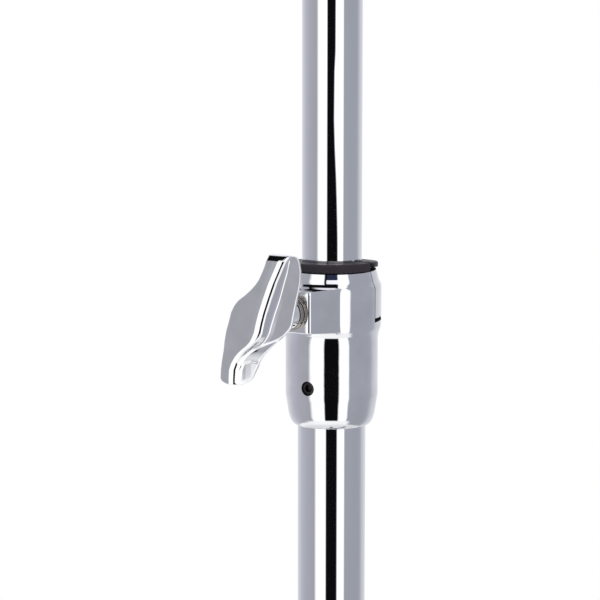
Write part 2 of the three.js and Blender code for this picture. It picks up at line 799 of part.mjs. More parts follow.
// The blades as one skin: a grooved front, rounded edges and a flat back
function bladeSkin(half, thickness, depth) {
  const positions = [];
  bladeShares.forEach(([z, left, ridge, groove, finger, right, share]) => {
    const inset = (right - left) * edgeShare;
    const section = [
      [left, thickness * sideShare],
      [left + inset, thickness * roundShare],
      [ridge, thickness],
      [groove, thickness - depth * share],
      [finger, thickness],
      [right - inset, thickness * roundShare],
      [right, thickness * sideShare],
      [right - inset, thickness * (1 - roundShare)],
      [(left + right) / 2, 0],
      [left + inset, thickness * (1 - roundShare)],
    ];
    section.forEach(([across, out]) => positions.push(out, across * half, z * half));
  });
  const around = positions.length / 3 / bladeShares.length;
  const back = 8;
  const index = [];
  for (let row = 0; row < bladeShares.length - 1; row += 1) {
    for (let step = 0; step < around; step += 1) {
      const next = (step + 1) % around;
      const a = row * around + step;
      const b = row * around + next;
      index.push(a, b, a + around, b, b + around, a + around);
    }
  }
  const last = (bladeShares.length - 1) * around;
  for (let step = 1; step < around - 1; step += 1) {
    const near = (back + step) % around;
    const next = (back + step + 1) % around;
    index.push(back, next, near);
    index.push(last + back, last + near, last + next);
  }
  const skin = new THREE.BufferGeometry();
  skin.setAttribute('position', new THREE.Float32BufferAttribute(positions, 3));
  skin.setIndex(index);
  return skin;
}

function makeWingScrew(tip, hubStart, shankRadius, size) {
  const hubEnd = hubStart + hubLength * size;
  const shank = cylinder(shankRadius, tip, hubStart + seatGap, SMALL);
  const hub = cylinder(hubRadius * size, hubStart, hubEnd + bladeSetback * size, ROUND);
  const blades = bladeSkin(bladeHalfLength * size, bladeThickness * size, grooveDepth * size);
  return joined(alongX(joined(shank, hub)), place(blades, hubEnd, 0, 0));
}

const wingSize = 1;
const washerStart = bossReach + seatGap;
const spacerStart = washerStart + washerThickness + seatGap;
const heightHubStart = spacerStart + spacerThickness + seatGap;
const wingMount = new THREE.Group();
wingMount.position.z = boltHeight;
clamp.add(wingMount);
add('height_wing_screw', makeWingScrew(padEnd + seatGap, heightHubStart, boltRadius, wingSize),
  chrome, wingMount);
add('wing_washer', alongX(ring(boltRadius + runGap, washerRadius, washerStart,
  washerStart + washerThickness)), nickel, wingMount);
add('wing_spacer', alongX(ring(boltRadius + runGap, spacerRadius, spacerStart,
  spacerStart + spacerThickness)), nickel, wingMount);

// The two tubes
const tubeInsertion = 114;
const upperTubeLength = 400;
const lowerTubeTop = collarBottom + bellDepth - seatGap;
const upperTubeBottom = collarBottom - tubeInsertion;
const upperTubeTop = upperTubeBottom + upperTubeLength;
add('lower_tube', ring(lowerTubeBore, lowerTubeRadius, tubeBottom, lowerTubeTop, WIDE), chrome);
add('upper_tube', ring(upperTubeBore, upperTubeRadius, upperTubeBottom, upperTubeTop, WIDE), chrome);

// Glide: a nylon plug in the upper tube's lower end, which runs in the lower tube
const glideFlange = 6;
const glideSpigot = 14;
add('tube_glide', cut(joined(
  cylinder(lowerTubeBore - runGap, upperTubeBottom - seatGap - glideFlange,
    upperTubeBottom - seatGap, WIDE),
  cylinder(upperTubeBore - runGap, upperTubeBottom - seatGap - glideFlange,
    upperTubeBottom + glideSpigot, WIDE),
), cylinder(rodBore, upperTubeBottom - 2 * glideSpigot, upperTubeBottom + 2 * glideSpigot, SMALL)),
blackNylon);

// Cymbal seat: a cast cap on the tube, a plate that tilts on a pin, a cup and a felt
const capDrop = 18;
const capWall = 3.4;
const capPlate = 6;
const capHole = 6;
const tiltPinX = 23.5;
const tiltPinRadius = 1.5;
const knuckleRadius = 3.5;
const knuckleHalf = 4;
const tiltPlateThickness = 2.5;
const tiltPlateRadius = 17.5;
const tiltPlateHole = 8.6;
const tiltScrewX = 26;
const tiltScrewRadius = 2.5;
const tiltHeadRadius = 8;
const tiltHeadHeight = 8;
const tiltSleeveRadius = 4.4;
const tiltScrewTail = 8;
const tabHalf = 4.5;
const cupRadius = 19;
const cupPlate = 2.7;
const cupSleeveRadius = 8.1;
const cupBore = 6.6;
const cupSleeveRise = 18;
const cupSpigot = 1.6;
const feltRadius = 19;
const feltHeight = 10;

const capBottom = upperTubeTop - capDrop;
const capTop = upperTubeTop + seatGap + capPlate;
const capRadius = upperTubeRadius + runGap + capWall;
const tiltPlateBottom = capTop + seatGap + knuckleRadius / 2;
const tiltPinHeight = tiltPlateBottom + tiltPlateThickness / 2;
const tiltPlateTop = tiltPlateBottom + tiltPlateThickness;
const cupBottom = tiltPlateTop + seatGap;
const cupTop = cupBottom + cupPlate;
const feltBottom = cupTop + seatGap;

function makeSeatBase() {
  const body = joined(
    cylinder(capRadius, capBottom, capTop, WIDE),
    place(cylinder(tiltHeadRadius, capTop - capPlate, capTop), tiltScrewX, 0, 0),
    block([0, -tabHalf, capTop - capPlate], [tiltScrewX, tabHalf, capTop]),
    block([-tiltPinX - knuckleRadius, -knuckleHalf, capTop - capPlate],
      [0, knuckleHalf, capTop]),
    block([-tiltPinX - knuckleRadius, -knuckleHalf, capTop - capPlate],
      [knuckleRadius - tiltPinX, knuckleHalf, tiltPinHeight]),
    pinY(knuckleRadius, -knuckleHalf, knuckleHalf, -tiltPinX, tiltPinHeight),
  );
  return cut(body,
    cylinder(upperTubeRadius + runGap, capBottom - overrun, upperTubeTop + seatGap, WIDE),
    cylinder(capHole, capBottom, capTop + overrun),
    place(cylinder(tiltSleeveRadius + runGap, capBottom, capTop + overrun, SMALL), tiltScrewX, 0, 0),
    pinY(tiltPinRadius + runGap, -2 * knuckleHalf, 2 * knuckleHalf, -tiltPinX, tiltPinHeight, SMALL),
  );
}

const earInside = knuckleHalf + runGap;
const earOutside = earInside + knuckleHalf;

function makeSeatPlate() {
  const ear = (from, to) => joined(
    pinY(knuckleRadius, from, to, -tiltPinX, tiltPinHeight),
    block([-tiltPinX, from, tiltPlateBottom], [0, to, tiltPlateTop]),
  );
  const notch = block([-2 * tiltPinX, -earInside, tiltPlateBottom - overrun],
    [knuckleRadius + runGap - tiltPinX, earInside, tiltPlateTop + overrun]);
  return cut(
    joined(
      cut(cylinder(tiltPlateRadius, tiltPlateBottom, tiltPlateTop, WIDE), notch),
      block([0, -tabHalf, tiltPlateBottom],
        [tiltScrewX + tiltScrewRadius, tabHalf, tiltPlateTop]),
      ear(earInside, earOutside),
      ear(-earOutside, -earInside),
    ),
    cylinder(tiltPlateHole, tiltPlateBottom - overrun, tiltPlateTop + overrun),
    pinY(tiltPinRadius + runGap, -2 * earOutside, 2 * earOutside, -tiltPinX, tiltPinHeight, SMALL),
  );
}

// The knob turns in the cap's ear, and the threaded screw rises through it against the plate
const tiltKnobTop = capTop - capPlate - seatGap;
const tiltKnobBottom = tiltKnobTop - tiltHeadHeight;

function makeTiltKnob() {
  const head = raised(scalloped(tiltHeadRadius, knobScallop, SMALL), tiltKnobBottom, tiltKnobTop);
  const sleeve = cylinder(tiltSleeveRadius, tiltKnobBottom, capTop, SMALL);
  const bore = cylinder(tiltScrewRadius + runGap, tiltKnobBottom - overrun, capTop + overrun, SMALL);
  return place(cut(joined(head, sleeve), bore), tiltScrewX, 0, 0);
}

add('seat_base', makeSeatBase(), chrome);
add('tilt_pin', pinY(tiltPinRadius, -earOutside, earOutside, -tiltPinX, tiltPinHeight, SMALL),
  darkSteel);
add('seat_plate', makeSeatPlate(), chrome);
add('tilt_knob', makeTiltKnob(), chrome);
add('tilt_screw', place(cylinder(tiltScrewRadius, tiltKnobBottom - tiltScrewTail,
  tiltPlateBottom - seatGap, SMALL), tiltScrewX, 0, 0), darkSteel);
add('seat_cup', cut(joined(
  cylinder(cupRadius, cupBottom, cupTop, WIDE),
  cylinder(cupSleeveRadius, tiltPlateTop - cupSpigot, cupTop + cupSleeveRise),
), cylinder(cupBore, capTop, cupTop + 2 * cupSleeveRise)), blackNylon);
add('seat_felt', ring(cupSleeveRadius + runGap, feltRadius, feltBottom, feltBottom + feltHeight, WIDE),
  felt);

// Clutch: a threaded sleeve on the pull rod with a head, felts and nuts
const clutchRise = 110;
const clutchNutRadius = 11;
const clutchNutHeight = 10;
const clutchTubeRadius = 6;
const clutchFeltRadius = 18;
const clutchFeltHeight = 7;
const topNutHeight = 9;
const headRadius = 9.5;
const headHeight = 26;
const headRise = 12;
const clutchBossRadius = 6.5;
const clutchBossReach = 15;
const clutchBoltRadius = 3;
const clutchWingSize = 0.7;

const clutchBottom = feltBottom + feltHeight + clutchRise;
const clutchNutTop = clutchBottom + clutchNutHeight;
const lowerFeltBottom = clutchNutTop + seatGap;
const upperFeltBottom = lowerFeltBottom + clutchFeltHeight + seatGap;
const topNutBottom = upperFeltBottom + clutchFeltHeight + seatGap;
const headBottom = topNutBottom + topNutHeight + headRise;
const headTop = headBottom + headHeight;
const clutchBoltHeight = headBottom + headHeight / 2;

add('clutch_bottom_nut', cut(raised(scalloped(clutchNutRadius, knobScallop, knobScallops),
  clutchBottom, clutchNutTop),
cylinder(clutchTubeRadius + runGap, clutchBottom - overrun, clutchNutTop + overrun)), chrome);
add('felt_lower', ring(clutchTubeRadius + runGap, clutchFeltRadius, lowerFeltBottom,
  lowerFeltBottom + clutchFeltHeight), felt);
add('felt_upper', ring(clutchTubeRadius + runGap, clutchFeltRadius, upperFeltBottom,
  upperFeltBottom + clutchFeltHeight), felt);
add('clutch_top_nut', cut(joined(
  cylinder(clutchFeltRadius - clutchTubeRadius / 2, topNutBottom, topNutBottom + clutchBoltRadius / 2),
  cylinder(clutchNutRadius, topNutBottom, topNutBottom + topNutHeight, HEX),
), cylinder(clutchTubeRadius + runGap, topNutBottom - overrun, headBottom)), chrome);
add('clutch_body', cut(joined(
  cylinder(clutchTubeRadius, clutchBottom, headBottom + seatGap),
  cylinder(headRadius, headBottom, headTop),
  pinY(clutchBossRadius, 0, clutchBossReach, 0, clutchBoltHeight),
),
cylinder(rodBore, clutchBottom - overrun, headTop + overrun, SMALL),
pinY(clutchBoltRadius + runGap, 0, clutchBossReach + overrun, 0, clutchBoltHeight)), chrome);

// The pull rod's two lengths meet in a hexagon nut inside the upper tube
const couplingDrop = 250;
const couplingLength = 30;
const couplingRadius = 5.5;
const rodRise = 65;
const couplingMiddle = upperTubeTop - couplingDrop;
add('lower_rod', cylinder(rodRadius, lowerRodBottom, couplingMiddle - seatGap / 2, SMALL), chrome);
add('upper_rod', cylinder(rodRadius, couplingMiddle + seatGap / 2, headTop + rodRise, SMALL), chrome);
add('rod_coupling', cut(
  cylinder(couplingRadius, couplingMiddle - couplingLength / 2,
    couplingMiddle + couplingLength / 2, HEX),
  cylinder(rodBore, couplingMiddle - couplingLength, couplingMiddle + couplingLength, SMALL),
), nickel);

const clutchWing = new THREE.Group();
clutchWing.position.z = clutchBoltHeight;
clutchWing.rotation.z = QUARTER;
stand.add(clutchWing);
add('clutch_wing_screw', makeWingScrew(rodRadius + seatGap, clutchBossReach + seatGap,
  clutchBoltRadius, clutchWingSize), chrome, clutchWing);

// Wing screw and collars of the tripod
const tripodCollarWall = 4.2;
const tripodBossRadius = 7.5;
const tripodBossReach = 26;
const tripodBoltRise = 13;
const tripodWingSize = 0.9;
const upperCollarDrop = 15;
const upperCollarRise = 22;

// Legs, braces and feet
const lugRadius = 6;
const lowerLugHalf = 4.4;
const rivetRadius = 3;
const braceWall = 1.8;
const legWall = 2;
const legEndDistance = 16;
const soleRadius = 17;
const soleTopRadius = 15;
const soleHeight = 11;
const soleRound = 2;
const bootWall = 2.6;
const bootLength = 36;

const tripodRadius = tripodBore + tripodCollarWall;
const braceInside = lowerLugHalf + runGap;
const braceOutside = braceInside + braceWall;
const legInside = braceOutside + runGap;
const legOutside = legInside + legWall;
const legWebInside = lugRadius + 2 * runGap;
const legWebOutside = legWebInside + legWall;
const braceWebInside = lugRadius - braceWall;
const tilt = degrees(legAngle);
const braceLength = pivotSpan / 2 / Math.cos(tilt);
const legLength = upperPivotHeight / Math.cos(tilt);
const legOffset = (legWebOutside - lugRadius) / 2;
const legHalf = (legWebOutside + lugRadius) / 2;
const footX = pivotReach + upperPivotHeight * Math.tan(tilt) + legOffset / Math.cos(tilt);
const pocketStart = legEndDistance + legOffset * Math.tan(tilt) - seatGap;
const legTurns = [90, 210, 330];

// Pivot lugs that stand out of a collar, one towards each leg, each with its rivet's hole
function withLugs(collar, half, height) {
  const around = (piece) => legTurns.map((angle) => turn(piece, [0, 0, 1], degrees(angle)));
  const lug = joined(
    pinY(lugRadius, -half, half, pivotReach, height),
    block([tripodBore + runGap, -half, height - lugRadius], [pivotReach, half, height + lugRadius]),
  );
  const hole = pinY(rivetRadius + runGap, -half - overrun, half + overrun, pivotReach, height);
  return cut(joined(collar, ...around(lug)), ...around(hole));
}

const lowerCollarBottom = lowerPivotHeight - lowerCollarHalf;
const lowerCollarTop = lowerPivotHeight + lowerCollarHalf;
add('tripod_glide', cut(joined(
  cylinder(tripodRadius, ringTop + seatGap, lowerCollarBottom - seatGap, WIDE),
  cylinder(sleeveRadius, ringTop + seatGap, lowerCollarTop + seatGap, WIDE),
), cylinder(sleeveBore, ringTop, lowerCollarTop + overrun, WIDE)), blackNylon);
add('lower_collar', cut(
  withLugs(cylinder(tripodRadius, lowerCollarBottom, lowerCollarTop, WIDE), lowerLugHalf,
    lowerPivotHeight),
  cylinder(tripodBore, lowerCollarBottom - overrun, lowerCollarTop + overrun, WIDE),
), chrome);

const upperCollarBottom = upperPivotHeight - upperCollarDrop;
const upperCollarTop = upperPivotHeight + upperCollarRise;
const tripodBoltHeight = upperPivotHeight + tripodBoltRise;
add('upper_collar', cut(
  withLugs(
    joined(cylinder(tripodRadius, upperCollarBottom, upperCollarTop, WIDE),
      pinY(tripodBossRadius, -tripodBossReach, 0, 0, tripodBoltHeight)),
    braceOutside, upperPivotHeight),
  cylinder(tripodBore, upperCollarBottom - overrun, upperCollarTop + overrun, WIDE),
  pinY(boltRadius + runGap, -tripodBossReach - overrun, 0, 0, tripodBoltHeight),
), chrome);
add('upper_bushing', cut(joined(
  cylinder(sleeveRadius, upperCollarBottom, upperCollarTop + 2 * seatGap, WIDE),
  cylinder(tripodRadius, upperCollarTop + seatGap, upperCollarTop + seatGap + tripodFlange, WIDE),
), cylinder(sleeveBore, upperCollarBottom - overrun, upperCollarTop + 2 * overrun, WIDE)), blackNylon);
const tripodWing = new THREE.Group();
tripodWing.position.z = tripodBoltHeight;
tripodWing.rotation.z = -QUARTER;
stand.add(tripodWing);
add('tripod_wing_screw', makeWingScrew(tripodBore + seatGap, tripodBossReach + seatGap, boltRadius,
  tripodWingSize), chrome, tripodWing);

// A brace stands up from its lower rivet: a channel with its web on the outer side, cut back at
// both ends so that they turn on the lug and inside the leg
function makeBrace() {
  const ends = 2 * lugRadius;
  const outline = roundedBar(0, 0, 0, braceLength, lugRadius);
  const inside = [
    [-ends, -ends],
    [ends, -ends],
    [ends, ends],
    [braceWebInside, ends],
    [braceWebInside, braceLength - ends],
    [ends, braceLength - ends],
    [ends, braceLength + ends],
    [-ends, braceLength + ends],
  ];
  return joined(
    cut(acrossY(outline, -braceOutside, braceOutside),
      acrossY(inside, -braceInside, braceInside),
      pinY(rivetRadius + runGap, -ends, ends, 0, braceLength)),
    pinY(rivetRadius, -braceOutside, braceOutside, 0, 0),
  );
}

// A leg hangs down from its upper rivet: a wider channel that its brace folds into
function makeLeg() {
  const ends = 2 * lugRadius;
  const length = legLength - legEndDistance;
  const outline = [
    ...roundedBar(0, -ends, 0, 0, lugRadius).slice(0, roundSteps + 1),
    [-lugRadius, -length],
    [legWebOutside, -length],
    [legWebOutside, -ends],
  ];
  const inside = [
    [-ends, -length - overrun],
    [legWebInside, -length - overrun],
    [legWebInside, -ends],
    [ends, -ends],
    [ends, ends],
    [-ends, ends],
  ];
  return joined(
    cut(acrossY(outline, -legOutside, legOutside), acrossY(inside, -legInside, legInside)),
    pinY(rivetRadius, -legOutside, legOutside, 0, 0),
    pinY(rivetRadius, -legOutside, legOutside, 0, -braceLength),
  );
}

// A rubber boot on the leg's end with a round flat sole
function makeFoot() {
  const sole = turned([
    [0, 0],
    [soleRadius - soleRound, 0],
    [soleRadius, soleRound],
    [soleTopRadius, soleHeight],
    [0, soleHeight],
  ], ROUND);
  const halfX = legHalf + seatGap;
  const halfY = legOutside + seatGap;
  const boot = raised([
    [halfX + bootWall, -halfY],
    [halfX + bootWall, halfY],
    [halfX, halfY + bootWall],
    [-halfX, halfY + bootWall],
    [-halfX - bootWall, halfY],
    [-halfX - bootWall, -halfY],
    [-halfX, -halfY - bootWall],
    [halfX, -halfY - bootWall],
  ], 0, bootLength);
  const pocket = block([-halfX, -halfY, pocketStart], [halfX, halfY, bootLength + overrun]);
  const below = block([-2 * bootLength, -2 * bootLength, -2 * bootLength],
    [2 * bootLength, 2 * bootLength, 0]);
  return cut(joined(sole, turn(boot, [0, 1, 0], -tilt)), turn(pocket, [0, 1, 0], -tilt), below);
}

legTurns.forEach((angle, index) => {
  const side = new THREE.Group();
  side.rotation.z = degrees(angle);
  stand.add(side);
  const number = index + 1;
  const brace = add(`brace_${number}`, makeBrace(), chrome, side);
  brace.position.set(pivotReach, 0, lowerPivotHeight);
  brace.rotation.y = tilt;
  const leg = add(`leg_${number}`, makeLeg(), chrome, side);
  leg.position.set(pivotReach, 0, upperPivotHeight);
  leg.rotation.y = -tilt;
  const foot = add(`foot_${number}`, makeFoot(), rubber, side);
  foot.position.set(footX, 0, 0);
});

export default stand;
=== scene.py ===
"""Hi-hat stand: the looks of its pieces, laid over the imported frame. Shapes are worked out in
millimetres and stored in metres, with +Z up and the tube's axis at x = y = 0."""

import math

import bmesh
import bpy
import numpy as np
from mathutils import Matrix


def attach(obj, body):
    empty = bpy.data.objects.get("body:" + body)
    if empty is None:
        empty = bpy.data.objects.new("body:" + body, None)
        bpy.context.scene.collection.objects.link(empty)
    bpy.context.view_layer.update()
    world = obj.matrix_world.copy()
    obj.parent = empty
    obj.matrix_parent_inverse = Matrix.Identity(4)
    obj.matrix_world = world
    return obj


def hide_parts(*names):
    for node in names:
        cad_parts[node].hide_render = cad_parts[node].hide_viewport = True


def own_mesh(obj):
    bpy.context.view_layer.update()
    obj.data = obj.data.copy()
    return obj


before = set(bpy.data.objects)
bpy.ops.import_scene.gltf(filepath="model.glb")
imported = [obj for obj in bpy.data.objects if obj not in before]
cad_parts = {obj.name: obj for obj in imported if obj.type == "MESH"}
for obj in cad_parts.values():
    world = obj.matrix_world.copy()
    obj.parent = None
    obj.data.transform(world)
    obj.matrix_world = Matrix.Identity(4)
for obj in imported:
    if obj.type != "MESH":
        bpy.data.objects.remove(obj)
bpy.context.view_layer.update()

# Lower tube. A drawn steel tube, polished and chrome plated. Its lower end stands in the base
# casting and its upper end in the bell of the height clamp.
MILLIMETRE = 0.001
FULL = 2 * np.pi
SAME_PLACE = 2e-7
LOWER_TUBE_RADIUS = 12.7
LOWER_TUBE_WALL = 1.2
LOWER_TUBE_FOOT = 226.5
CLAMP_BOTTOM = 554.0
TUBE_IN_CLAMP = 35.7
TUBE_EDGE = 0.25


def rounded(outline, radius, steps=4, closed=True):
    """Each corner becomes an arc of the given radius that touches both its sides and takes at most
    0.4 of either. One more point on each side, close to the arc, keeps the flat stretches flat in
    the shading. A corner that is nearly straight stays as it is."""
    corners = np.array(outline, float)
    radii = np.broadcast_to(radius, len(corners))
    made = []
    for i, (corner, wanted) in enumerate(zip(corners, radii)):
        first_or_last = not closed and i in (0, len(corners) - 1)
        before = corners[i - 1] - corner
        after = corners[(i + 1) % len(corners)] - corner
        lengths = np.hypot(*before), np.hypot(*after)
        before, after = before / max(lengths[0], 1e-9), after / max(lengths[1], 1e-9)
        opening = np.arccos(np.clip(before @ after, -1, 1))
        if first_or_last or wanted <= 0 or opening > 3.1:
            made.append(corner[None])
            continue
        reach = min(wanted / np.tan(opening / 2), 0.4 * min(lengths))
        arc = np.pi - opening
        middle = (before + after) / np.linalg.norm(before + after)
        centre = corner + middle * reach / np.cos(opening / 2)
        start, end = corner + before * reach - centre, corner + after * reach - centre
        t = np.linspace(0, 1, steps + 1)[:, None]
        curve = (np.sin((1 - t) * arc) * start + np.sin(t * arc) * end) / np.sin(arc)
        made += [
            (corner + before * reach * 1.2)[None],
            centre + curve,
            (corner + after * reach * 1.2)[None],
        ]
    return np.concatenate(made)


def grid_faces(rows, columns, wrap_rows=False):
    """Quads between neighbours of a grid whose columns close on themselves."""
    i = np.arange(rows if wrap_rows else rows - 1)[:, None]
    j = np.arange(columns)[None]
    below, above = i * columns, (i + 1) % rows * columns
    right = (j + 1) % columns
    return np.stack([below + j, below + right, above + right, above + j], -1).reshape(-1, 4)


def turned(profile, around=96, closed=True):
    """Each profile point (radius, height) goes round Z: x = r cos a, y = r sin a, z = height. A
    radius may itself change with the angle. An open profile begins and ends on the axis."""
    angles = np.linspace(0, FULL, around, endpoint=False)
    radii = np.array([np.broadcast_to(r, around) for r, _ in profile], float)
    heights = np.array([h for _, h in profile], float)[:, None] * np.ones(around)
    points = np.stack([radii * np.cos(angles), radii * np.sin(angles), heights], -1)
    return points.reshape(-1, 3), grid_faces(len(profile), around, wrap_rows=closed)


def stepped(bore, bottom, steps, edge=0.35):
    """Section of a tube or bush that is turned in steps. Each step is its radius and the height of
    its top, and every corner is rounded by the edge's radius."""
    outline = [(bore, bottom)]
    for radius, top in steps:
        outline += [(radius, outline[-1][1]), (radius, top)]
    return rounded(outline + [(bore, outline[-1][1])], edge)


def add_piece(name, mesh, body, finish, replaces, sharp):
    """The piece of a finished mesh. Its faces are smooth, and only edges sharper than the given
    angle stay hard."""
    mesh.shade_smooth()
    mesh.set_sharp_from_angle(angle=math.radians(sharp))
    mesh.materials.clear()
    mesh.materials.append(finish)
    made = bpy.data.objects.new(name, mesh)
    bpy.context.scene.collection.objects.link(made)
    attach(made, body)
    if replaces:
        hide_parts(*replaces)
    return made


def make_piece(name, shape, body, finish, replaces=(), sharp=32):
    """A mesh from points in millimetres and faces, which are an array, or a list where their sizes
    differ. Points that lie on one another are merged, and all faces turn outwards."""
    points, faces = shape
    mesh = bpy.data.meshes.new(name)
    mesh.from_pydata((np.asarray(points) * MILLIMETRE).tolist(), [],
                     faces if isinstance(faces, list) else faces.tolist())
    work = bmesh.new()
    work.from_mesh(mesh)
    bmesh.ops.remove_doubles(work, verts=work.verts, dist=SAME_PLACE)
    bmesh.ops.dissolve_degenerate(work, edges=work.edges, dist=SAME_PLACE / 20)
    bmesh.ops.recalc_face_normals(work, faces=work.faces)
    work.to_mesh(mesh)
    work.free()
    return add_piece(name, mesh, body, finish, replaces, sharp)


def add_node(tree, kind, inputs=None, **settings):
    """A node with its settings, each input set to a value or joined to another node's output."""
    made = tree.nodes.new(kind)
    for key, value in settings.items():
        setattr(made, key, value)
    for key, value in (inputs or {}).items():
        if isinstance(value, bpy.types.NodeSocket):
            tree.links.new(value, made.inputs[key])
        else:
            made.inputs[key].default_value = value
    return made


def make_handled_surface():
    """Node group: slow noise gives the handling marks, fine noise the grain, and the mesh's
    pointed places the worn edges. Colour, Roughness and Normal change with them."""
    group = bpy.data.node_groups.new("handled surface", "ShaderNodeTree")
    sockets = [
        ("Colour", "NodeSocketColor"), ("Worn Colour", "NodeSocketColor"),
        ("Edge Wear", "NodeSocketFloat"), ("Roughness", "NodeSocketFloat"),
        ("Marks", "NodeSocketFloat"), ("Mark Size", "NodeSocketFloat"),
        ("Grain Size", "NodeSocketFloat"), ("Grain Depth", "NodeSocketFloat"),
        ("Stretch", "NodeSocketVector"),
    ]
    for name, kind in sockets:
        group.interface.new_socket(name, in_out="INPUT", socket_type=kind)
    for name, kind in [("Colour", "NodeSocketColor"), ("Roughness", "NodeSocketFloat"),
                       ("Normal", "NodeSocketVector")]:
        group.interface.new_socket(name, in_out="OUTPUT", socket_type=kind)
    given = group.nodes.new("NodeGroupInput").outputs
    place = add_node(group, "ShaderNodeTexCoord").outputs["Object"]
    stretched = add_node(group, "ShaderNodeVectorMath", {0: place, 1: given["Stretch"]},
                         operation="MULTIPLY").outputs[0]
    marks = add_node(group, "ShaderNodeTexNoise",
                     {"Vector": stretched, "Scale": given["Mark Size"], "Detail": 5.0,
                      "Roughness": 0.62, "Distortion": 0.6}).outputs["Fac"]
    patches = add_node(group, "ShaderNodeMapRange",
                       {0: marks, 1: 0.42, 2: 0.72, 3: 0.0, 4: 1.0},
                       interpolation_type="SMOOTHSTEP").outputs[0]
    rougher = add_node(group, "ShaderNodeMath", {0: patches, 1: given["Marks"],
                                                 2: given["Roughness"]},
                       operation="MULTIPLY_ADD").outputs[0]
    grain = add_node(group, "ShaderNodeTexNoise",
                     {"Vector": stretched, "Scale": given["Grain Size"], "Detail": 3.0}
                     ).outputs["Fac"]
    pointed = add_node(group, "ShaderNodeNewGeometry").outputs["Pointiness"]
    edge = add_node(group, "ShaderNodeMapRange", {0: pointed, 1: 0.52, 2: 0.62, 3: 0.0, 4: 1.0},
                    interpolation_type="SMOOTHSTEP").outputs[0]
    broken = add_node(group, "ShaderNodeMath", {0: edge, 1: marks}, operation="MULTIPLY").outputs[0]
    wear = add_node(group, "ShaderNodeMath", {0: broken, 1: given["Edge Wear"]},
                    operation="MULTIPLY", use_clamp=True).outputs[0]
    tone = add_node(group, "ShaderNodeMapRange", {0: grain, 1: 0.3, 2: 0.7, 3: 0.94, 4: 1.04}
                    ).outputs[0]
    toned = add_node(group, "ShaderNodeVectorMath", {0: given["Colour"], "Scale": tone},
                     operation="SCALE").outputs[0]
    colour = add_node(group, "ShaderNodeMix", {0: wear, 6: toned, 7: given["Worn Colour"]},
                      data_type="RGBA").outputs[2]
    normal = add_node(group, "ShaderNodeBump", {"Height": grain, "Distance": given["Grain Depth"]}
                      ).outputs[0]
    out = group.nodes.new("NodeGroupOutput").inputs
    group.links.new(colour, out["Colour"])
    group.links.new(rougher, out["Roughness"])
    group.links.new(normal, out["Normal"])
    return group


handled_surface = make_handled_surface()


def make_finish(name, colour, worn, roughness, marks=0.05, metal=1.0, wear=0.5, mark_size=40.0,
                grain_size=900.0, grain_depth=0.00001, stretch=(1, 1, 1), sheen=0.0, shine=0.5):
    """A material: the handled surface feeds colour, roughness and normal of one shader."""
    made = bpy.data.materials.new(name)
    made.use_nodes = True
    tree = made.node_tree
    shader = tree.nodes["Principled BSDF"]
    group = add_node(tree, "ShaderNodeGroup", node_tree=handled_surface)
    values = {"Colour": (*colour, 1), "Worn Colour": (*worn, 1), "Edge Wear": wear,
              "Roughness": roughness, "Marks": marks, "Mark Size": mark_size,
              "Grain Size": grain_size, "Grain Depth": grain_depth, "Stretch": stretch}
    for key, value in values.items():
        group.inputs[key].default_value = value
    tree.links.new(group.outputs["Colour"], shader.inputs["Base Color"])
    tree.links.new(group.outputs["Roughness"], shader.inputs["Roughness"])
    tree.links.new(group.outputs["Normal"], shader.inputs["Normal"])
    shader.inputs["Metallic"].default_value = metal
    shader.inputs["Sheen Weight"].default_value = sheen
    shader.inputs["Specular IOR Level"].default_value = shine
    return made


tube_chrome = make_finish(
    "chrome on drawn tube", (0.86, 0.87, 0.89), (0.93, 0.93, 0.94), roughness=0.012, marks=0.035,
    mark_size=30.0, grain_size=70.0, grain_depth=0.00001, stretch=(1, 1, 0.12))

make_piece("lower_tube_skin",
           turned(stepped(LOWER_TUBE_RADIUS - LOWER_TUBE_WALL, LOWER_TUBE_FOOT,
                          [(LOWER_TUBE_RADIUS, CLAMP_BOTTOM + TUBE_IN_CLAMP)], TUBE_EDGE),
                  around=160),
           "base", tube_chrome, ["lower_tube"])

# Upper tube. The narrower drawn tube that slides in the lower one, polished and chrome plated over
# its whole length. The height clamp holds it.
UPPER_TUBE_RADIUS = 11.1
UPPER_TUBE_WALL = 1.5
UPPER_TUBE_LOW, UPPER_TUBE_HIGH = 440.0, 840.0
make_piece("upper_tube_skin",
           turned(stepped(UPPER_TUBE_RADIUS - UPPER_TUBE_WALL, UPPER_TUBE_LOW,
                          [(UPPER_TUBE_RADIUS, UPPER_TUBE_HIGH)], TUBE_EDGE), around=160),
           "post", tube_chrome, ["upper_tube"])

# Height clamp. A zinc casting, chromed: a bell that is fixed on the lower tube, and above it a
# ring that a slit and a relief slot let flex. The square boss takes the wing screw.
cast_chrome = make_finish(
    "chrome on casting", (0.86, 0.865, 0.885), (0.95, 0.95, 0.96), roughness=0.015, marks=0.03,
    mark_size=55.0, grain_size=120.0, grain_depth=0.00003)

BELL_RADIUS, BELL_BORE, BELL_DEPTH = 17.2, 13.0, 36.3
RING_RADIUS, RING_BORE = 18.4, 14.9
# The boss's end face: how far out it is, half its width, and how fast the boss widens inwards
BOSS_REACH, BOSS_HALF, BOSS_FLARE = 27.0, 6.95, 0.38
# Its lower and upper face, their slope, the rounding of its edges and the fillet at the ring
BOSS_LOW, BOSS_HIGH = 37.4, 52.9
BOSS_SLOPE, BOSS_EDGE, BOSS_BLEND = 0.3, 0.6, 0.35
BOLT_HEIGHT = (BOSS_LOW + BOSS_HIGH) / 2
# The boss's lower edge falls by the draft on its way in from the end face
BOSS_DRAFT, DRAFT_REACH = 0.9, 9.0
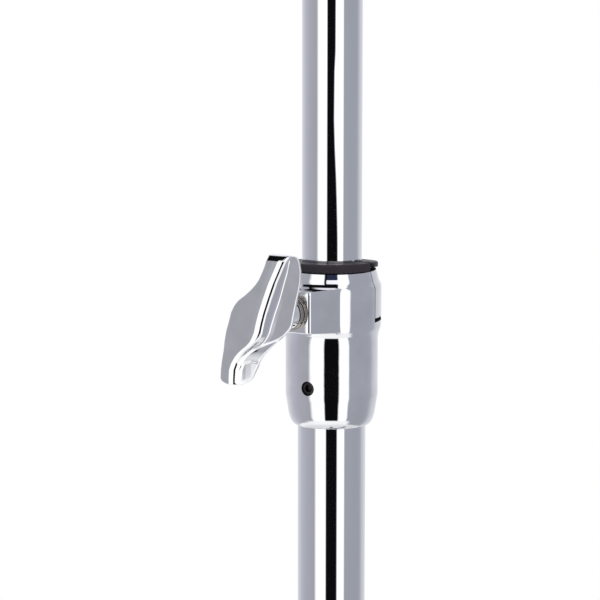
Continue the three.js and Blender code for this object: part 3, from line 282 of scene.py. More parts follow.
# Angle from the boss's middle where it ends, and the finer degrees at its corners and at the ring
BOSS_SPAN = 1.2
CORNER_DEGREES = np.arange(11, 20, 0.35)
MEETING_DEGREES = np.arange(39, 47, 0.6)
SLOT_LOW, SLOT_HIGH = 39.1, 40.6
SLIT_ANGLE, SLIT_WIDTH = 91.0, 0.35
RELIEF_ANGLE = 36.0
# The set screw's hole, the grid's square that becomes it, and how many squares out the grid bends
SCREW_HEIGHT, SCREW_HOLE = 15.3, 2.7
SCREW_SQUARE, SQUARE_BEND = 2.4, 2.4
# Heights of the grid's rows at the bell's rim and at the ring's top edge
RIM_ROWS = [0, 0.25, 0.6, 1.0, 1.6, 2.2]
TOP_ROWS = [53.3, 53.5, 53.8, 54.1, 54.4, 54.8, 55.3, 55.8, 56.3, 56.8, 57.2, 57.5, 57.8]
# Height and radius from the rim up: round, taper, straight, shoulder, ring, step to the top edge
CLAMP_PROFILE = [
    (-3, 12.0), (0, 14.3), (0.5, 14.85), (1.6, 15.42), (3.6, 16.05), (11, BELL_RADIUS),
    (32.3, BELL_RADIUS), (34.2, 17.45), (36.5, 18.2), (38.0, 18.34), (40, RING_RADIUS),
    (51.8, RING_RADIUS), (52.3, 18.28), (54.3, 17.26), (55.8, 17.0), (57.4, 16.5), (60.4, 15.6)]


def smoothed(values, width, axis):
    """Weighted mean of neighbours along one axis, its ends held."""
    kernel = np.hanning(2 * width + 3)[1:-1]
    kernel /= kernel.sum()
    pads = [(0, 0)] * values.ndim
    pads[axis] = (width, width)
    padded = np.pad(values, pads, mode="edge")
    return np.apply_along_axis(lambda line: np.convolve(line, kernel, "valid"), axis, padded)


def clamp_radius(z):
    """Outer radius of the clamp at a height: its outline, smoothed a little."""
    heights, radii = np.array(CLAMP_PROFILE).T
    fine = np.linspace(heights[0], heights[-1], 1213)
    return np.interp(z, fine, smoothed(np.interp(fine, heights, radii), 8, 0))


def boss_radius(angle):
    """Distance from the tube's axis to the boss's outline at an angle from its middle: the end
    face is a / cos, the flared sides are b / (sin + flare cos), and a high power blends them. It
    is 0 away from the boss."""
    a = np.abs((angle + np.pi) % FULL - np.pi)
    end = np.cos(a) / BOSS_REACH
    side = (np.sin(a) + BOSS_FLARE * np.cos(a)) / (BOSS_HALF + BOSS_REACH * BOSS_FLARE)
    power = 34.0
    inverse = np.clip(end, 1e-4, None) ** power + np.clip(side, 1e-4, None) ** power
    return np.where(a < BOSS_SPAN, inverse ** (-1 / power), 0.0)


def larger(a, b, blend):
    """The larger of two lengths, with the step between them eased over a short blend."""
    return (a + b + np.sqrt((a - b) ** 2 + blend * blend)) / 2


def shell(outer, inner, kept):
    """Two grids of points with the same cells. Cells that are kept get an outer and an inner face,
    and each edge next to a cell that is left out gets a wall between the two. Gives the points,
    the faces and the walls."""
    rows, columns = outer.shape[:2]
    count = rows * columns
    index = np.arange(count).reshape(rows, columns)
    right = np.roll(index, -1, axis=1)
    quad = np.stack([index[:-1], right[:-1], right[1:], index[1:]], -1)
    faces = np.concatenate([quad[kept], quad[kept][:, ::-1] + count])
    walls = []
    beside = {
        (0, 1): np.vstack([np.zeros((1, columns), bool), kept[:-1]]),
        (2, 3): np.vstack([kept[1:], np.zeros((1, columns), bool)]),
        (1, 2): np.roll(kept, -1, axis=1),
        (3, 0): np.roll(kept, 1, axis=1),
    }
    for (a, b), neighbour in beside.items():
        edge = quad[kept & ~neighbour]
        walls.append(np.stack([edge[:, a], edge[:, b], edge[:, b] + count, edge[:, a] + count], -1))
    return (np.concatenate([outer.reshape(-1, 3), inner.reshape(-1, 3)]), faces,
            np.concatenate(walls))


def on_clamp(points):
    """From the clamp's own frame, its boss along +x, to its place: turned half round and raised."""
    return np.asarray(points) * (-1, -1, 1) + (0, 0, CLAMP_BOTTOM)


def clamp_columns(slit_half, hole):
    """Degrees of the grid's columns: even ones, finer ones at the boss's corners and where it
    meets the ring, and exact ones at the sides of the slit, the relief slot and the screw hole."""
    exact = [SLIT_ANGLE - slit_half, SLIT_ANGLE + slit_half, SLIT_ANGLE + RELIEF_ANGLE, hole,
             -hole % 360]
    degrees = np.sort(np.concatenate([
        np.arange(0, 360, 1.2), CORNER_DEGREES, 360 - CORNER_DEGREES, MEETING_DEGREES,
        360 - MEETING_DEGREES, np.arange(-hole, hole, hole / 5)]) % 360)
    degrees = degrees[np.concatenate([[True], np.diff(degrees) > 0.12])]
    far = np.all(np.abs(degrees[:, None] - exact) > 0.2, axis=1)
    return np.sort(np.concatenate([degrees[far], exact]))


def clamp_rows():
    """The grid's rows from the rim up, as three columns: the height, how far the boss is pulled
    back by the rounding of its edges, and how far out the row lies, from 0 on the bell and the
    ring to 1 on the boss. Across the boss's two faces the height changes only by their slope."""
    turn = np.linspace(0, np.pi / 2, 6)[1:-1]
    edge_up = [(BOSS_HIGH - BOSS_EDGE + BOSS_EDGE * np.sin(t), -BOSS_EDGE * (1 - np.cos(t)), 1.0)
               for t in turn]
    edge_down = [(BOSS_LOW + BOSS_EDGE - BOSS_EDGE * np.sin(t), -BOSS_EDGE * (1 - np.cos(t)), 1.0)
                 for t in turn[::-1]]
    inwards = [1.0, 0.96, 0.8, 0.5, 0.2, 0.06, 0.0]
    strip_up = [(BOSS_HIGH + BOSS_SLOPE * (1 - s), -BOSS_EDGE, s) for s in inwards]
    strip_down = [(BOSS_LOW - BOSS_SLOPE * (1 - s), -BOSS_EDGE, s) for s in inwards[::-1]]
    below = np.unique(np.round(np.concatenate([
        RIM_ROWS, np.arange(3, 11, 0.8), np.arange(11, 36, 0.8),
        np.linspace(SCREW_HEIGHT - SCREW_SQUARE, SCREW_HEIGHT + SCREW_SQUARE, 11),
    ]), 3))
    between = np.unique(np.round(np.concatenate([
        [BOSS_LOW + BOSS_EDGE, SLOT_LOW, SLOT_HIGH, BOSS_HIGH - BOSS_EDGE],
        np.linspace(BOSS_LOW + BOSS_EDGE, BOSS_HIGH - BOSS_EDGE, 15),
    ]), 3))
    between = between[(between <= SLOT_LOW) | (between >= SLOT_HIGH)]
    rows = ([(z, 0.0, 0.0) for z in below] + strip_down + edge_down
            + [(z, 0.0, 1.0) for z in between] + edge_up + strip_up
            + [(z, 0.0, 0.0) for z in TOP_ROWS])
    return np.array(rows).T[:, :, None]


def hole_stretch(across, up):
    """How far a grid point is carried from the set screw's middle: the side of the square goes to
    the circle of the hole, and further out the points move less and less."""
    size = np.maximum(np.abs(across), np.abs(up)) / SCREW_SQUARE
    length = np.maximum(np.hypot(across, up), 1e-6)
    pull = np.clip((SQUARE_BEND - size) / (SQUARE_BEND - 1), 0, 1)
    pull = np.where(size >= 0.999, pull * pull * (3 - 2 * pull), 0)
    return 1 + pull * (size * SCREW_HOLE / length - 1)


def clamp_shell():
    """Grid of angle by row. The radius is the bell's or ring's at the row's height, and goes over
    to the boss's by the row's share. Cells in the slit, the slot and the hole are left out."""
    slit_half = math.degrees(SLIT_WIDTH / 2 / RING_RADIUS)
    hole = math.degrees(SCREW_SQUARE / BELL_RADIUS)
    degrees = clamp_columns(slit_half, hole)
    height, pulled, share = clamp_rows()
    across = ((degrees + 180) % 360 - 180)[None] * np.radians(BELL_RADIUS)
    up = height - SCREW_HEIGHT
    stretch = hole_stretch(across, up)
    z = SCREW_HEIGHT + up * stretch
    a = np.radians(across * stretch / np.radians(BELL_RADIUS))

    draft = np.where((pulled < 0) & (height < BOLT_HEIGHT), BOSS_DRAFT, 0)
    z = z - draft * np.clip((BOSS_REACH - boss_radius(a)) / DRAFT_REACH, 0, 1)
    plain = clamp_radius(z)
    full = larger(plain, boss_radius(a) + pulled, BOSS_BLEND)
    radius = plain + (full - plain) * share
    bore = np.where(height < BELL_DEPTH, BELL_BORE, RING_BORE) * np.ones_like(a)
    outer = np.stack([radius * np.cos(a), radius * np.sin(a), z * np.ones_like(a)], -1)
    inner = np.stack([bore * np.cos(a), bore * np.sin(a), z * np.ones_like(a)], -1)

    row_middle = (height[:-1, 0] + height[1:, 0]) / 2
    following = np.append(degrees[1:], degrees[0] + 360)
    column_middle = ((degrees + following) / 2) % 360
    past_slit = column_middle - SLIT_ANGLE
    from_screw = np.abs((column_middle + 180) % 360 - 180)
    kept = np.ones((len(row_middle), len(column_middle)), bool)
    kept[np.ix_(row_middle > SLOT_LOW, np.abs(past_slit) < slit_half)] = False
    kept[np.ix_((row_middle > SLOT_LOW) & (row_middle < SLOT_HIGH),
                (past_slit > -slit_half) & (past_slit < RELIEF_ANGLE))] = False
    kept[np.ix_(np.abs(row_middle - SCREW_HEIGHT) < SCREW_SQUARE, from_screw < hole)] = False
    return shell(outer, inner, kept)


points, faces, walls = clamp_shell()
make_piece("height_clamp", (on_clamp(points), faces), "base", cast_chrome,
           ["height_collar"])
# The cut faces of the clamp (the walls of the slit, the relief slot and the screw hole, and the
# faces at the rim and the top edge) are nearly black: partly unplated metal, partly painted shade
# that darkens these recesses.
bare_casting_and_shade = make_finish(
    "bare casting and painted shade", (0.03, 0.03, 0.033), (0.1, 0.1, 0.1), roughness=0.6, marks=0.2, metal=0.3,
    mark_size=90.0, grain_size=900.0, grain_depth=0.00004)
used, walls = np.unique(walls, return_inverse=True)
make_piece("height_clamp_cuts", (on_clamp(points[used]), walls.reshape(-1, 4)), "base",
           bare_casting_and_shade)

# Set screw of the clamp. A black steel grub screw with a hexagon socket, sunk into the bell. It
# holds the clamp on the lower tube.
black_steel = make_finish(
    "black oxide steel", (0.032, 0.028, 0.03), (0.25, 0.25, 0.26), roughness=0.28, marks=0.15,
    mark_size=200.0, grain_size=2500.0, grain_depth=0.00002)


def hexagon(flat, around=96):
    """Radius of a hexagon at each angle: half its width across flats over the cosine."""
    angles = np.linspace(0, FULL, around, endpoint=False)
    return flat / np.cos((angles + np.pi / 6) % (np.pi / 3) - np.pi / 6)


def along_boss(points):
    """From a form made along Z to one along X, as the boss is before it is placed."""
    x, y, z = points.T
    return np.stack([z, y, -x], -1)


def on_boss_axis(shape, height):
    """A form made along Z in its place along the boss, this high above the clamp's rim."""
    points, faces = shape
    return on_clamp(along_boss(points) + (0, 0, height)), faces


def screw_socket(radius, back, front, flat, depth):
    """Section of a grub screw from its back to its front face, then into its hexagon socket."""
    hexed = hexagon(flat)
    return [(0, back), (radius, back), (radius, front - 0.35), (radius - 0.1, front - 0.12),
            (radius - 0.35, front), (hexed * 1.14, front), (hexed, front - 0.15),
            (hexed, front - depth), (hexed * 0.5, front - depth - 0.1), (0, front - depth - 0.3)]


socket = screw_socket(radius=2.45, back=13.1, front=16.7, flat=1.25, depth=1.9)
make_piece("set_screw", on_boss_axis(turned(socket, closed=False), SCREW_HEIGHT), "base",
           black_steel, ["collar_set_screw"])

# Bushing of the clamp. A black nylon sleeve, moulded with a slit and a flange, which stands on the
# ring and grips the upper tube.
black_nylon = make_finish(
    "black nylon", (0.034, 0.0295, 0.036), (0.05, 0.045, 0.045), roughness=0.32, marks=0.1,
    metal=0.0, shine=0.05, mark_size=80.0, grain_size=1800.0, grain_depth=0.00004)

BUSHING_BORE, BUSHING_RADIUS, BUSHING_FOOT = 11.4, 14.6, 38.4
# The slit's width, measured at this radius
BUSHING_SLIT, SLIT_RADIUS = 2.5, 15.0
FLANGE_RADIUS, FLANGE_LOW, FLANGE_HIGH = 17.1, 58.25, 61.4
FLANGE_LIFT = 1.0
# The flange's front on the clamp, and its top at degrees from there
FLANGE_FRONT = 32
FLANGE_TOPS = [(0, 61.4), (50, 61.3), (80, 61.0), (100, 60.5), (120, 60.0), (150, 59.6),
               (180, 59.5)]


def split_ring(section, slit_angle, slit_width, radius, around=420):
    """A ring of the given closed section with one slit: the section is carried round from one
    side of the slit to the other, and each end is closed by its own flat face."""
    half = slit_width / 2 / radius
    angles = np.linspace(math.radians(slit_angle) + half, math.radians(slit_angle) + FULL - half,
                         around)
    r, h = np.array(section).T
    points = np.stack([np.outer(np.cos(angles), r), np.outer(np.sin(angles), r),
                       np.outer(np.ones(around), h)], -1)
    count = len(r)
    faces = grid_faces(around, count).tolist()
    faces += [list(range(count))[::-1], list(range((around - 1) * count, around * count))]
    return points.reshape(-1, 3), faces


def bushing_shape():
    """The split ring with its flange reshaped. The underside is lifted past the slit, fully for 6
    degrees and then less over 40; the top falls away to the back; and both come together at the
    slit's ends, as the fourth root of a circle."""
    section = stepped(BUSHING_BORE, BUSHING_FOOT,
                      [(BUSHING_RADIUS, FLANGE_LOW), (FLANGE_RADIUS, FLANGE_HIGH)],
                      [0.3, 0.3, 0.1, 0.5, 1.0, 0.4])
    points, faces = split_ring(section, SLIT_ANGLE, BUSHING_SLIT, SLIT_RADIUS)
    x, y, z = points.T
    degrees = np.degrees(np.arctan2(y, x))
    from_front = np.abs((degrees - FLANGE_FRONT + 180) % 360 - 180)
    past_slit = (degrees - SLIT_ANGLE) % 360
    before_slit = 360 - past_slit
    low = FLANGE_LOW + FLANGE_LIFT * np.clip(1 - (past_slit - 6) / 40, 0, 1)
    high = np.interp(from_front, *np.array(FLANGE_TOPS).T)
    to_end = np.clip(np.minimum(past_slit / 12, before_slit / 7) - 0.35, 0, 1)
    rounding = np.sqrt(np.clip(1 - (1 - to_end) ** 4, 0.12, 1))
    share = np.clip((z - FLANGE_LOW) / (FLANGE_HIGH - FLANGE_LOW), 0, 1)
    middle = (low + high) / 2
    flange = middle + (low - middle + (high - low) * share) * rounding
    z = np.where(z > FLANGE_LOW - 0.2, flange, z)
    return np.stack([x, y, z], -1), faces


points, faces = bushing_shape()
make_piece("clamp_bushing", (on_clamp(points), faces), "base", black_nylon,
           ["height_bushing"])

# Pressure pad. A black nylon plug, slid into the boss from outside, that the wing screw pushes
# against the bushing.
PAD_RADIUS, PAD_INNER, PAD_OUTER = 4.0, 15.2, 21.2


def pin(radius, start, end):
    """A plain pin along Z with a small chamfer at either end."""
    return turned(rounded([(0, start), (radius, start), (radius, end), (0, end)],
                          [0, 0.4, 0.4, 0], closed=False), around=48, closed=False)


make_piece("clamp_pad", on_boss_axis(pin(PAD_RADIUS, PAD_INNER, PAD_OUTER), BOLT_HEIGHT),
           "base", black_nylon, ["pressure_pad"])

# Washer and spacer of the wing screw. Two turned steel rings, nickel plated, that lie loose
# between the boss and the wing's hub.
nickel = make_finish(
    "dull nickel", (0.35, 0.325, 0.3), (0.7, 0.68, 0.65), roughness=0.2, marks=0.12,
    mark_size=120.0, grain_size=900.0, grain_depth=0.00003)
RING_ON_SHANK = 4.3
for name, radius, start, end, node in [("washer_ring", 6.4, 27.3, 28.8, "wing_washer"),
                                       ("spacer_ring", 6.1, 29.1, 31.0, "wing_spacer")]:
    ring = turned(stepped(RING_ON_SHANK, start, [(radius, end)], edge=0.3))
    make_piece(name, on_boss_axis(ring, BOLT_HEIGHT), "base", nickel, [node])

# Wing screws. Zinc castings on threaded steel shanks, chromed: a round hub with two broad blades,
# each hollowed along its front so that a ridge and a finger rest stand up beside the groove.
WING_HALF = 24.0
WING_THICK = 6.5
# Outline as height, then distance from the axis: the left edge and the right one
WING_LEFT = [
    (-24.2, -10), (-23.8, -13.2), (-23.1, -15.3), (-22.1, -16.1), (-19.2, -16), (-15.5, -15.5),
    (-11.8, -14.8), (-8.1, -14.4), (-4.4, -13.7), (-0.7, -12.5), (2.2, -11.7), (4.9, -10.2),
    (6.8, -8.5), (8.8, -5.7), (10.9, -3.2), (12.8, -1.3), (14.7, 0.2), (16.2, 1), (18.4, 2.1),
    (20.6, 3.05), (22.3, 3.6), (24.2, 4.1)]
WING_RIGHT = [
    (-24, -8), (-23.2, -6), (-22, -4), (-20.7, -2.9), (-19.2, -2.1), (-16.9, -1), (-14.6, 0.06),
    (-12.7, 1.3), (-11.1, 2.6), (-9.8, 3.9), (-8.4, 5.1), (-7, 6.8), (-5.6, 8.5), (-3.6, 10.6),
    (-2, 12), (-0.4, 12.8), (2.1, 13.2), (5, 13.8), (8.6, 14.5), (12.2, 15.6), (15.8, 16.4),
    (19.3, 16.8), (22.1, 16.7), (23.5, 16.1), (24, 15)]
# Height, then the ridge's place, the groove's depth and the drop of the finger rest's far edge
WING_RELIEF = [
    (-24, -10.3, 0.7, 1.57), (-21.8, -10.3, 0.72, 1.62), (-18.5, -10.1, 0.75, 1.67),
    (-16, -9.1, 0.8, 1.7), (-13.5, -7.5, 0.9, 1.78), (-11.9, -6, 1.4, 1.98), (-10.5, -4.4, 2, 2.2),
    (-9.3, -2.8, 2.4, 2.45), (-7.5, -1.1, 2.75, 2.7), (-5.9, -0.2, 2.9, 2.85), (-4.1, 0.6, 3, 3),
    (-0.8, 1.4, 3.2, 3.2), (2.9, 2.5, 3.4, 3.3), (5.8, 3.55, 3.5, 3.4), (8.7, 4.6, 3.5, 3.4),
    (13.5, 6.5, 3.1, 3), (17.9, 8.6, 2.5, 2.4), (21.2, 10.2, 1.7, 1.6), (24, 11.4, 1.3, 1.2)]
# The ridge's shoulder: distance from the ridge, then drop below the plateau
WING_SHOULDER = [(-4, 0), (-1.9, 0.06), (-0.35, 0.38), (0, 0.55), (0.35, 0.77), (0.8, 1.27),
                 (1.1, 1.75), (4.1, 7.75)]
# Swell along the finger rest: distance from the inner corner, then height
WING_SWELL = [(0, 0), (0.5, 0.13), (0.8, 0.14), (1.15, 0.06), (2.7, 0), (20, 0)]
# Two steps across the scoop below the finger rest: distance from the axis, then height
WING_CREST = [(-9, -13), (-7.1, -12.1), (-5.9, -11.2), (-1.6, -9.7), (1.8, -8.2), (5.1, -6.8),
              (6.8, -6), (9.3, -4.6), (12.6, -2.1)]
WING_STEP = [(-8, -16.4), (-7.2, -16.2), (-5.9, -15.4), (-3.8, -14.8), (-1.6, -14.9),
             (-0.4, -15.3)]
# How deep each step is: distance below it, then drop
CREST_DROP = [(0, 0), (0.7, 0.35), (1.8, 0.02), (5, 0)]
STEP_DROP = [(0, 0), (0.55, 0.3), (6, 0)]
STEP_START = 1.2
# The scoop fades in below this height; a lip deepens it beside the inner corner
SCOOP_TOP, SCOOP_FADE = -9, 4
LIP_DEPTH, LIP_REACH = 0.32, 1.6
# The ridge's top end bends back from this height on
TIP_BEND, TIP_SLOPE, TIP_CURVE = 21.8, 0.43, 0.05
# The back comes forward to leave this wall at the finger rest's edge, over this reach
EDGE_WALL, EDGE_REACH = 0.9, 7.0
# Rims and tips are rounded as superellipses of these powers, and the back is this much shorter
RIM_POWER, TIP_POWER = 50, 500
BACK_SHARE = 0.95
# The hub, and where the blades begin on it
HUB_RADIUS, HUB_LENGTH, BLADES_OUT = 5.8, 15.5, 13.0


def crowded(count):
    """Fractions from 0 to 1, closest together at both ends: a half turn's cosine."""
    return (1 - np.cos(np.linspace(0, np.pi, count))) / 2


# The shoulder once more, finely spaced and smoothed: distances from the ridge, and the drop there
FROM_RIDGE = np.linspace(-5, 4, 900)
SHOULDER_DROP = smoothed(np.interp(FROM_RIDGE, *np.array(WING_SHOULDER).T), 18, 0)


def wing_drop(y, z, right, foot, ridge, depth, rise):
    """How far the front lies below the plateau. Up to the foot it follows the ridge's shoulder
    down to the groove's depth; from there the finger rest runs straight to its far edge, with the
    swell on it. The scoop below has its lip, crest and step, and the ridge's top end is bent."""
    past_foot = np.maximum(y - foot, 0)
    share = past_foot / (right - foot)
    scooped = np.clip((SCOOP_TOP - z) / SCOOP_FADE, 0, 1)
    lip = LIP_DEPTH * scooped * np.clip(past_foot / LIP_REACH, 0, 1)
    shoulder = np.interp(y - ridge, FROM_RIDGE, SHOULDER_DROP)
    drop = np.where(y < foot, np.minimum(shoulder, depth),
                    depth + lip + (rise - depth - lip) * share)
    drop = drop - np.interp(past_foot, *np.array(WING_SWELL).T) * (1 - scooped)
    below_crest = np.interp(y, *np.array(WING_CREST).T) - z
    below_step = np.interp(y, *np.array(WING_STEP).T) - z
    crest = np.interp(below_crest, *np.array(CREST_DROP).T)
    bottom = np.interp(below_step, *np.array(STEP_DROP).T)
    drop = drop + crest * np.clip(past_foot / 1.5, 0, 1)
    drop = drop + bottom * np.clip((past_foot - STEP_START) / STEP_START, 0, 1)
    bent = np.maximum(z - TIP_BEND, 0)
    return drop + (TIP_SLOPE + TIP_CURVE * bent) * bent * np.clip((foot + 1.5 - y) / 2, 0, 1)


def wing_blades(size, rows=290):
    """A grid of height by way round the section: across the front, where the inner corner has a
    column of its own, and back behind it. The back is flat, but comes forward behind the finger
    rest's edge. Edges and tips are rounded."""
    z = WING_HALF * np.sin(np.linspace(-np.pi / 2, np.pi / 2, rows))[:, None]
    even = np.linspace(-WING_HALF, WING_HALF, 481)

    def by_height(table, column=1):
        """One column of a table, interpolated to the grid's heights and smoothed."""
        heights, values = np.array(table)[:, [0, column]].T
        return np.interp(z, even, smoothed(np.interp(even, heights, values), 6, 0))

    left, right = by_height(WING_LEFT), by_height(WING_RIGHT)
    ridge, depth, rise = (by_height(WING_RELIEF, column) for column in (1, 2, 3))
    foot = ridge + np.interp(depth, SHOULDER_DROP, FROM_RIDGE)
    y = np.concatenate([left + (foot - left) * crowded(140),
                        foot + (right - foot) * crowded(90)[1:]], axis=1)
    front = WING_THICK - smoothed(wing_drop(y, z, right, foot, ridge, depth, rise), 1, 0)
    behind = left + (right - left) * crowded(60)
    near_edge = np.clip(1 - (right - behind) / EDGE_REACH, 0, 1)
    front_there = np.array([np.interp(*row) for row in zip(behind, y, front)])
    back = (front_there - EDGE_WALL) * near_edge ** 2 * (3 - 2 * near_edge)
    back_here = np.array([np.interp(*row) for row in zip(y, behind, back)])
    tip = np.sqrt(np.clip(1 - np.abs(z / WING_HALF) ** TIP_POWER, 0, 1))

    def shrunk(across, own, other):
        """One face drawn to the middle between both at the rims and tips."""
        rim = np.sqrt(1 - np.abs(2 * (across - left) / (right - left) - 1) ** RIM_POWER)
        return (own + other) / 2 + (own - other) / 2 * rim * tip

    x = np.concatenate([shrunk(y, front, back_here),
                        shrunk(behind, back, front_there)[:, -2:0:-1]], axis=1)
    y = np.concatenate([y, behind[:, -2:0:-1]], axis=1)
    heights = z * np.where(np.arange(x.shape[1]) < front.shape[1], 1, BACK_SHARE)
    return np.stack([x, y, heights], -1).reshape(-1, 3) * size, grid_faces(*x.shape)


def wing_stem(size, tip, hub, shank):
    """Section of the hub and the shank: the shank's cut end, the hub's rounded shoulder, and the
    hub's far end inside the blades."""
    radius = HUB_RADIUS * size
    end = hub + HUB_LENGTH * size
    return rounded([(0, tip), (shank - 0.5, tip), (shank, tip + 0.6), (shank, hub), (radius, hub),
                    (radius, end - 0.5), (0, end - 0.5)], [0, 0, 0, 0, 0.5, 0.8, 0], closed=False)


def make_wing(name, node, body, size, tip, hub, shank, place):
    """Blades and stem of one wing screw, both carried to their place on the stand. Along the
    screw, the shank has its tip and the hub its start at the given distances."""
    points, faces = wing_blades(size)
    blades = make_piece(name, (place(points + (hub + BLADES_OUT * size, 0, 0)), faces), body,
                        cast_chrome, [node])
    points, faces = turned(wing_stem(size, tip, hub, shank), around=72, closed=False)
    make_piece(name + "_stem", (place(along_boss(points)), faces), body, cast_chrome)
    return blades


height_blades = make_wing(
    "height_wing", "height_wing_screw", "height_wing", size=1.0, tip=21.5, hub=31.3, shank=4.0,
    place=lambda points: on_clamp(points + (0, 0, BOLT_HEIGHT)))
# The polished clamp mirrors the white room past these blades, and not the blades themselves
height_blades.visible_glossy = False
TRIPOD_BOLT_HEIGHT, CLUTCH_BOLT_HEIGHT = 430.6, 1033.05
make_wing(
    "tripod_wing", "tripod_wing_screw", "tripod_wing", size=0.9, tip=15.2, hub=26.3, shank=4.0,
    place=lambda points: points[:, [1, 0, 2]] * (1, -1, 1) + (0, 0, TRIPOD_BOLT_HEIGHT))
make_wing(
    "clutch_wing", "clutch_wing_screw", "clutch_wing", size=0.7, tip=3.3, hub=15.3, shank=3.0,
    place=lambda points: points[:, [1, 0, 2]] * (-1, 1, 1) + (0, 0, CLUTCH_BOLT_HEIGHT))

# Tripod collars, legs and braces. Steel collars with lugs, and pressed steel channels riveted to
# them, all chrome plated after pressing, so that their edges are round.
SHARP_BEND = 36


def refined(node, body, finish, width):
    """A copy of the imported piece: its flat faces joined again, its edges rounded by a bevel of the
    given width, and its curved faces smooth."""
    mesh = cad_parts[node].data.copy()
    work = bmesh.new()
    work.from_mesh(mesh)
    bmesh.ops.remove_doubles(work, verts=work.verts, dist=10 * SAME_PLACE)
    bmesh.ops.dissolve_limit(work, angle_limit=math.radians(1.2), verts=work.verts,
                             edges=work.edges)
    bmesh.ops.recalc_face_normals(work, faces=work.faces)
    work.to_mesh(mesh)
    work.free()
    made = add_piece(node + "_skin", mesh, body, finish, [node], SHARP_BEND)
    rounding = made.modifiers.new("rounded edges", "BEVEL")
    rounding.width = width * MILLIMETRE
    rounding.segments = 3
    rounding.limit_method = "ANGLE"
    rounding.angle_limit = math.radians(SHARP_BEND)
    rounding.harden_normals = True


pressed_chrome = make_finish(
    "chrome on pressed steel", (0.85, 0.86, 0.88), (0.93, 0.93, 0.94), roughness=0.03, marks=0.06,
    mark_size=25.0, grain_size=160.0, grain_depth=0.00003)
for collar in ("lower_collar", "upper_collar"):
    refined(collar, collar, pressed_chrome, 0.8)
for limb in ("leg_1", "brace_1", "leg_2", "brace_2", "leg_3", "brace_3"):
    refined(limb, limb, pressed_chrome, 0.6)

# Feet. Moulded rubber boots with a round sole, pushed on the ends of the legs, so that the stand
# doesn't slide.
black_rubber = make_finish(
    "moulded rubber", (0.022, 0.022, 0.023), (0.07, 0.07, 0.07), roughness=0.62, marks=0.2,
    metal=0.0, mark_size=45.0, grain_size=1500.0, grain_depth=0.00008)
for side in "123":
    refined("foot_" + side, "leg_" + side, black_rubber, 0.9)

# Tripod sleeves. Nylon bushings between the tripod's two collars and the lower tube: the lower one
# carries its collar on a flange, and the upper one's flange stands on the collar.
SLEEVE_BORE, SLEEVE_RADIUS, SLEEVE_FLANGE = 13.0, 14.6, 19.1
GLIDE_LOW, GLIDE_FLANGE_HIGH, GLIDE_HIGH = 252.8, 255.3, 275.9
SLEEVE_LOW, SLEEVE_FLANGE_LOW, SLEEVE_HIGH = 402.6, 439.9, 442.4


def nylon_bush(name, node, body, bore, bottom, steps, edge=0.35):
    """One black nylon bush, turned in steps."""
    make_piece(name, turned(stepped(bore, bottom, steps, edge)), body, black_nylon,
               [node])


nylon_bush("glide_sleeve", "tripod_glide", "tripod_glide", SLEEVE_BORE, GLIDE_LOW,
           [(SLEEVE_FLANGE, GLIDE_FLANGE_HIGH), (SLEEVE_RADIUS, GLIDE_HIGH)])
nylon_bush("upper_sleeve", "upper_bushing", "upper_collar", SLEEVE_BORE, SLEEVE_LOW,
           [(SLEEVE_RADIUS, SLEEVE_FLANGE_LOW), (SLEEVE_FLANGE, SLEEVE_HIGH)])

# Base. An alloy casting: a flat beam on the floor, two arms up to a shelf with the spring's knob,
# and a yoke up to the socket for the lower tube. A rubber pad is glued under the beam.
cast_alloy = make_finish(
    "tumbled alloy", (0.5, 0.505, 0.51), (0.72, 0.72, 0.72), roughness=0.33, marks=0.16,
    mark_size=30.0, grain_size=700.0, grain_depth=0.00012)
refined("base_casting", "base", cast_alloy, 0.9)
refined("base_pad", "base", black_rubber, 0.6)

# Heel plate. The same alloy, cast with two ears for the footboard's pin, on a rubber pad. Two
# chromed steel rods join it to the beam of the base.
HEEL_PIN_RADIUS, HEEL_PIN_HALF = 3.0, 40.0
HEEL_PIN_PLACE = (0, -258.0, 20.0)
refined("heel_plate", "base", cast_alloy, 0.9)
refined("heel_pad", "base", black_rubber, 0.6)
points, faces = pin(HEEL_PIN_RADIUS, -HEEL_PIN_HALF, HEEL_PIN_HALF)
make_piece("heel_axle", (points[:, [2, 1, 0]] * (1, -1, 1) + HEEL_PIN_PLACE, faces), "base",
           black_steel, ["heel_pin"])
refined("radius_rod_left", "base", tube_chrome, 0.3)
refined("radius_rod_right", "base", tube_chrome, 0.3)

# Spring adjuster. The knob under the shelf is nylon and captive; the nylon seat is threaded
# into it, and the spring stands on the seat's flange.
ROD_BORE = 3.3
SEAT_RADIUS, SEAT_FLANGE = 8.0, 12.0
SEAT_LOW, SEAT_FLANGE_LOW, SEAT_HIGH = 128.0, 151.1, 154.1
KNOB_AROUND = 288


def scalloped(radius, depth, count):
    """Radius by angle of a knob with finger hollows: it falls by the depth, count times round, and
    the hollows are wider than the ribs between them."""
    angles = np.linspace(0, FULL, KNOB_AROUND, endpoint=False)
    return radius - depth * (0.5 + 0.5 * np.cos(count * angles)) ** 0.8


def knob_section(bore, radius, depth, count, bottom, top, round_by=0.8):
    """Closed section of a scalloped knob: bore, lower edge, side, upper edge."""
    side = scalloped(radius, depth, count)
    steps = np.linspace(0, np.pi / 2, 5)
    lower = [(side - round_by * (1 - np.sin(t)), bottom + round_by * (1 - np.cos(t)))
             for t in steps]
    upper = [(side - round_by * (1 - np.cos(t)), top - round_by * (1 - np.sin(t)))
             for t in steps]
    return ([(bore, bottom), (radius * 0.7, bottom)] + lower + upper
            + [(radius * 0.7, top), (bore, top)])


spring_knob = knob_section(bore=8.3, radius=15.5, depth=1.2, count=18, bottom=142.3, top=150.8)
make_piece("spring_knob", turned(spring_knob, around=KNOB_AROUND),
           "tension_knob", black_nylon, ["tension_knob"])
nylon_bush("spring_rest", "spring_seat", "spring_seat", ROD_BORE, SEAT_LOW,
           [(SEAT_RADIUS, SEAT_FLANGE_LOW), (SEAT_FLANGE, SEAT_HIGH)])

# Return spring. One coiled steel wire, oiled black, between its seat and the rod's collar. Its end
# coils are wound flat.
SPRING_LOW, SPRING_HIGH = 154.4, 209.4


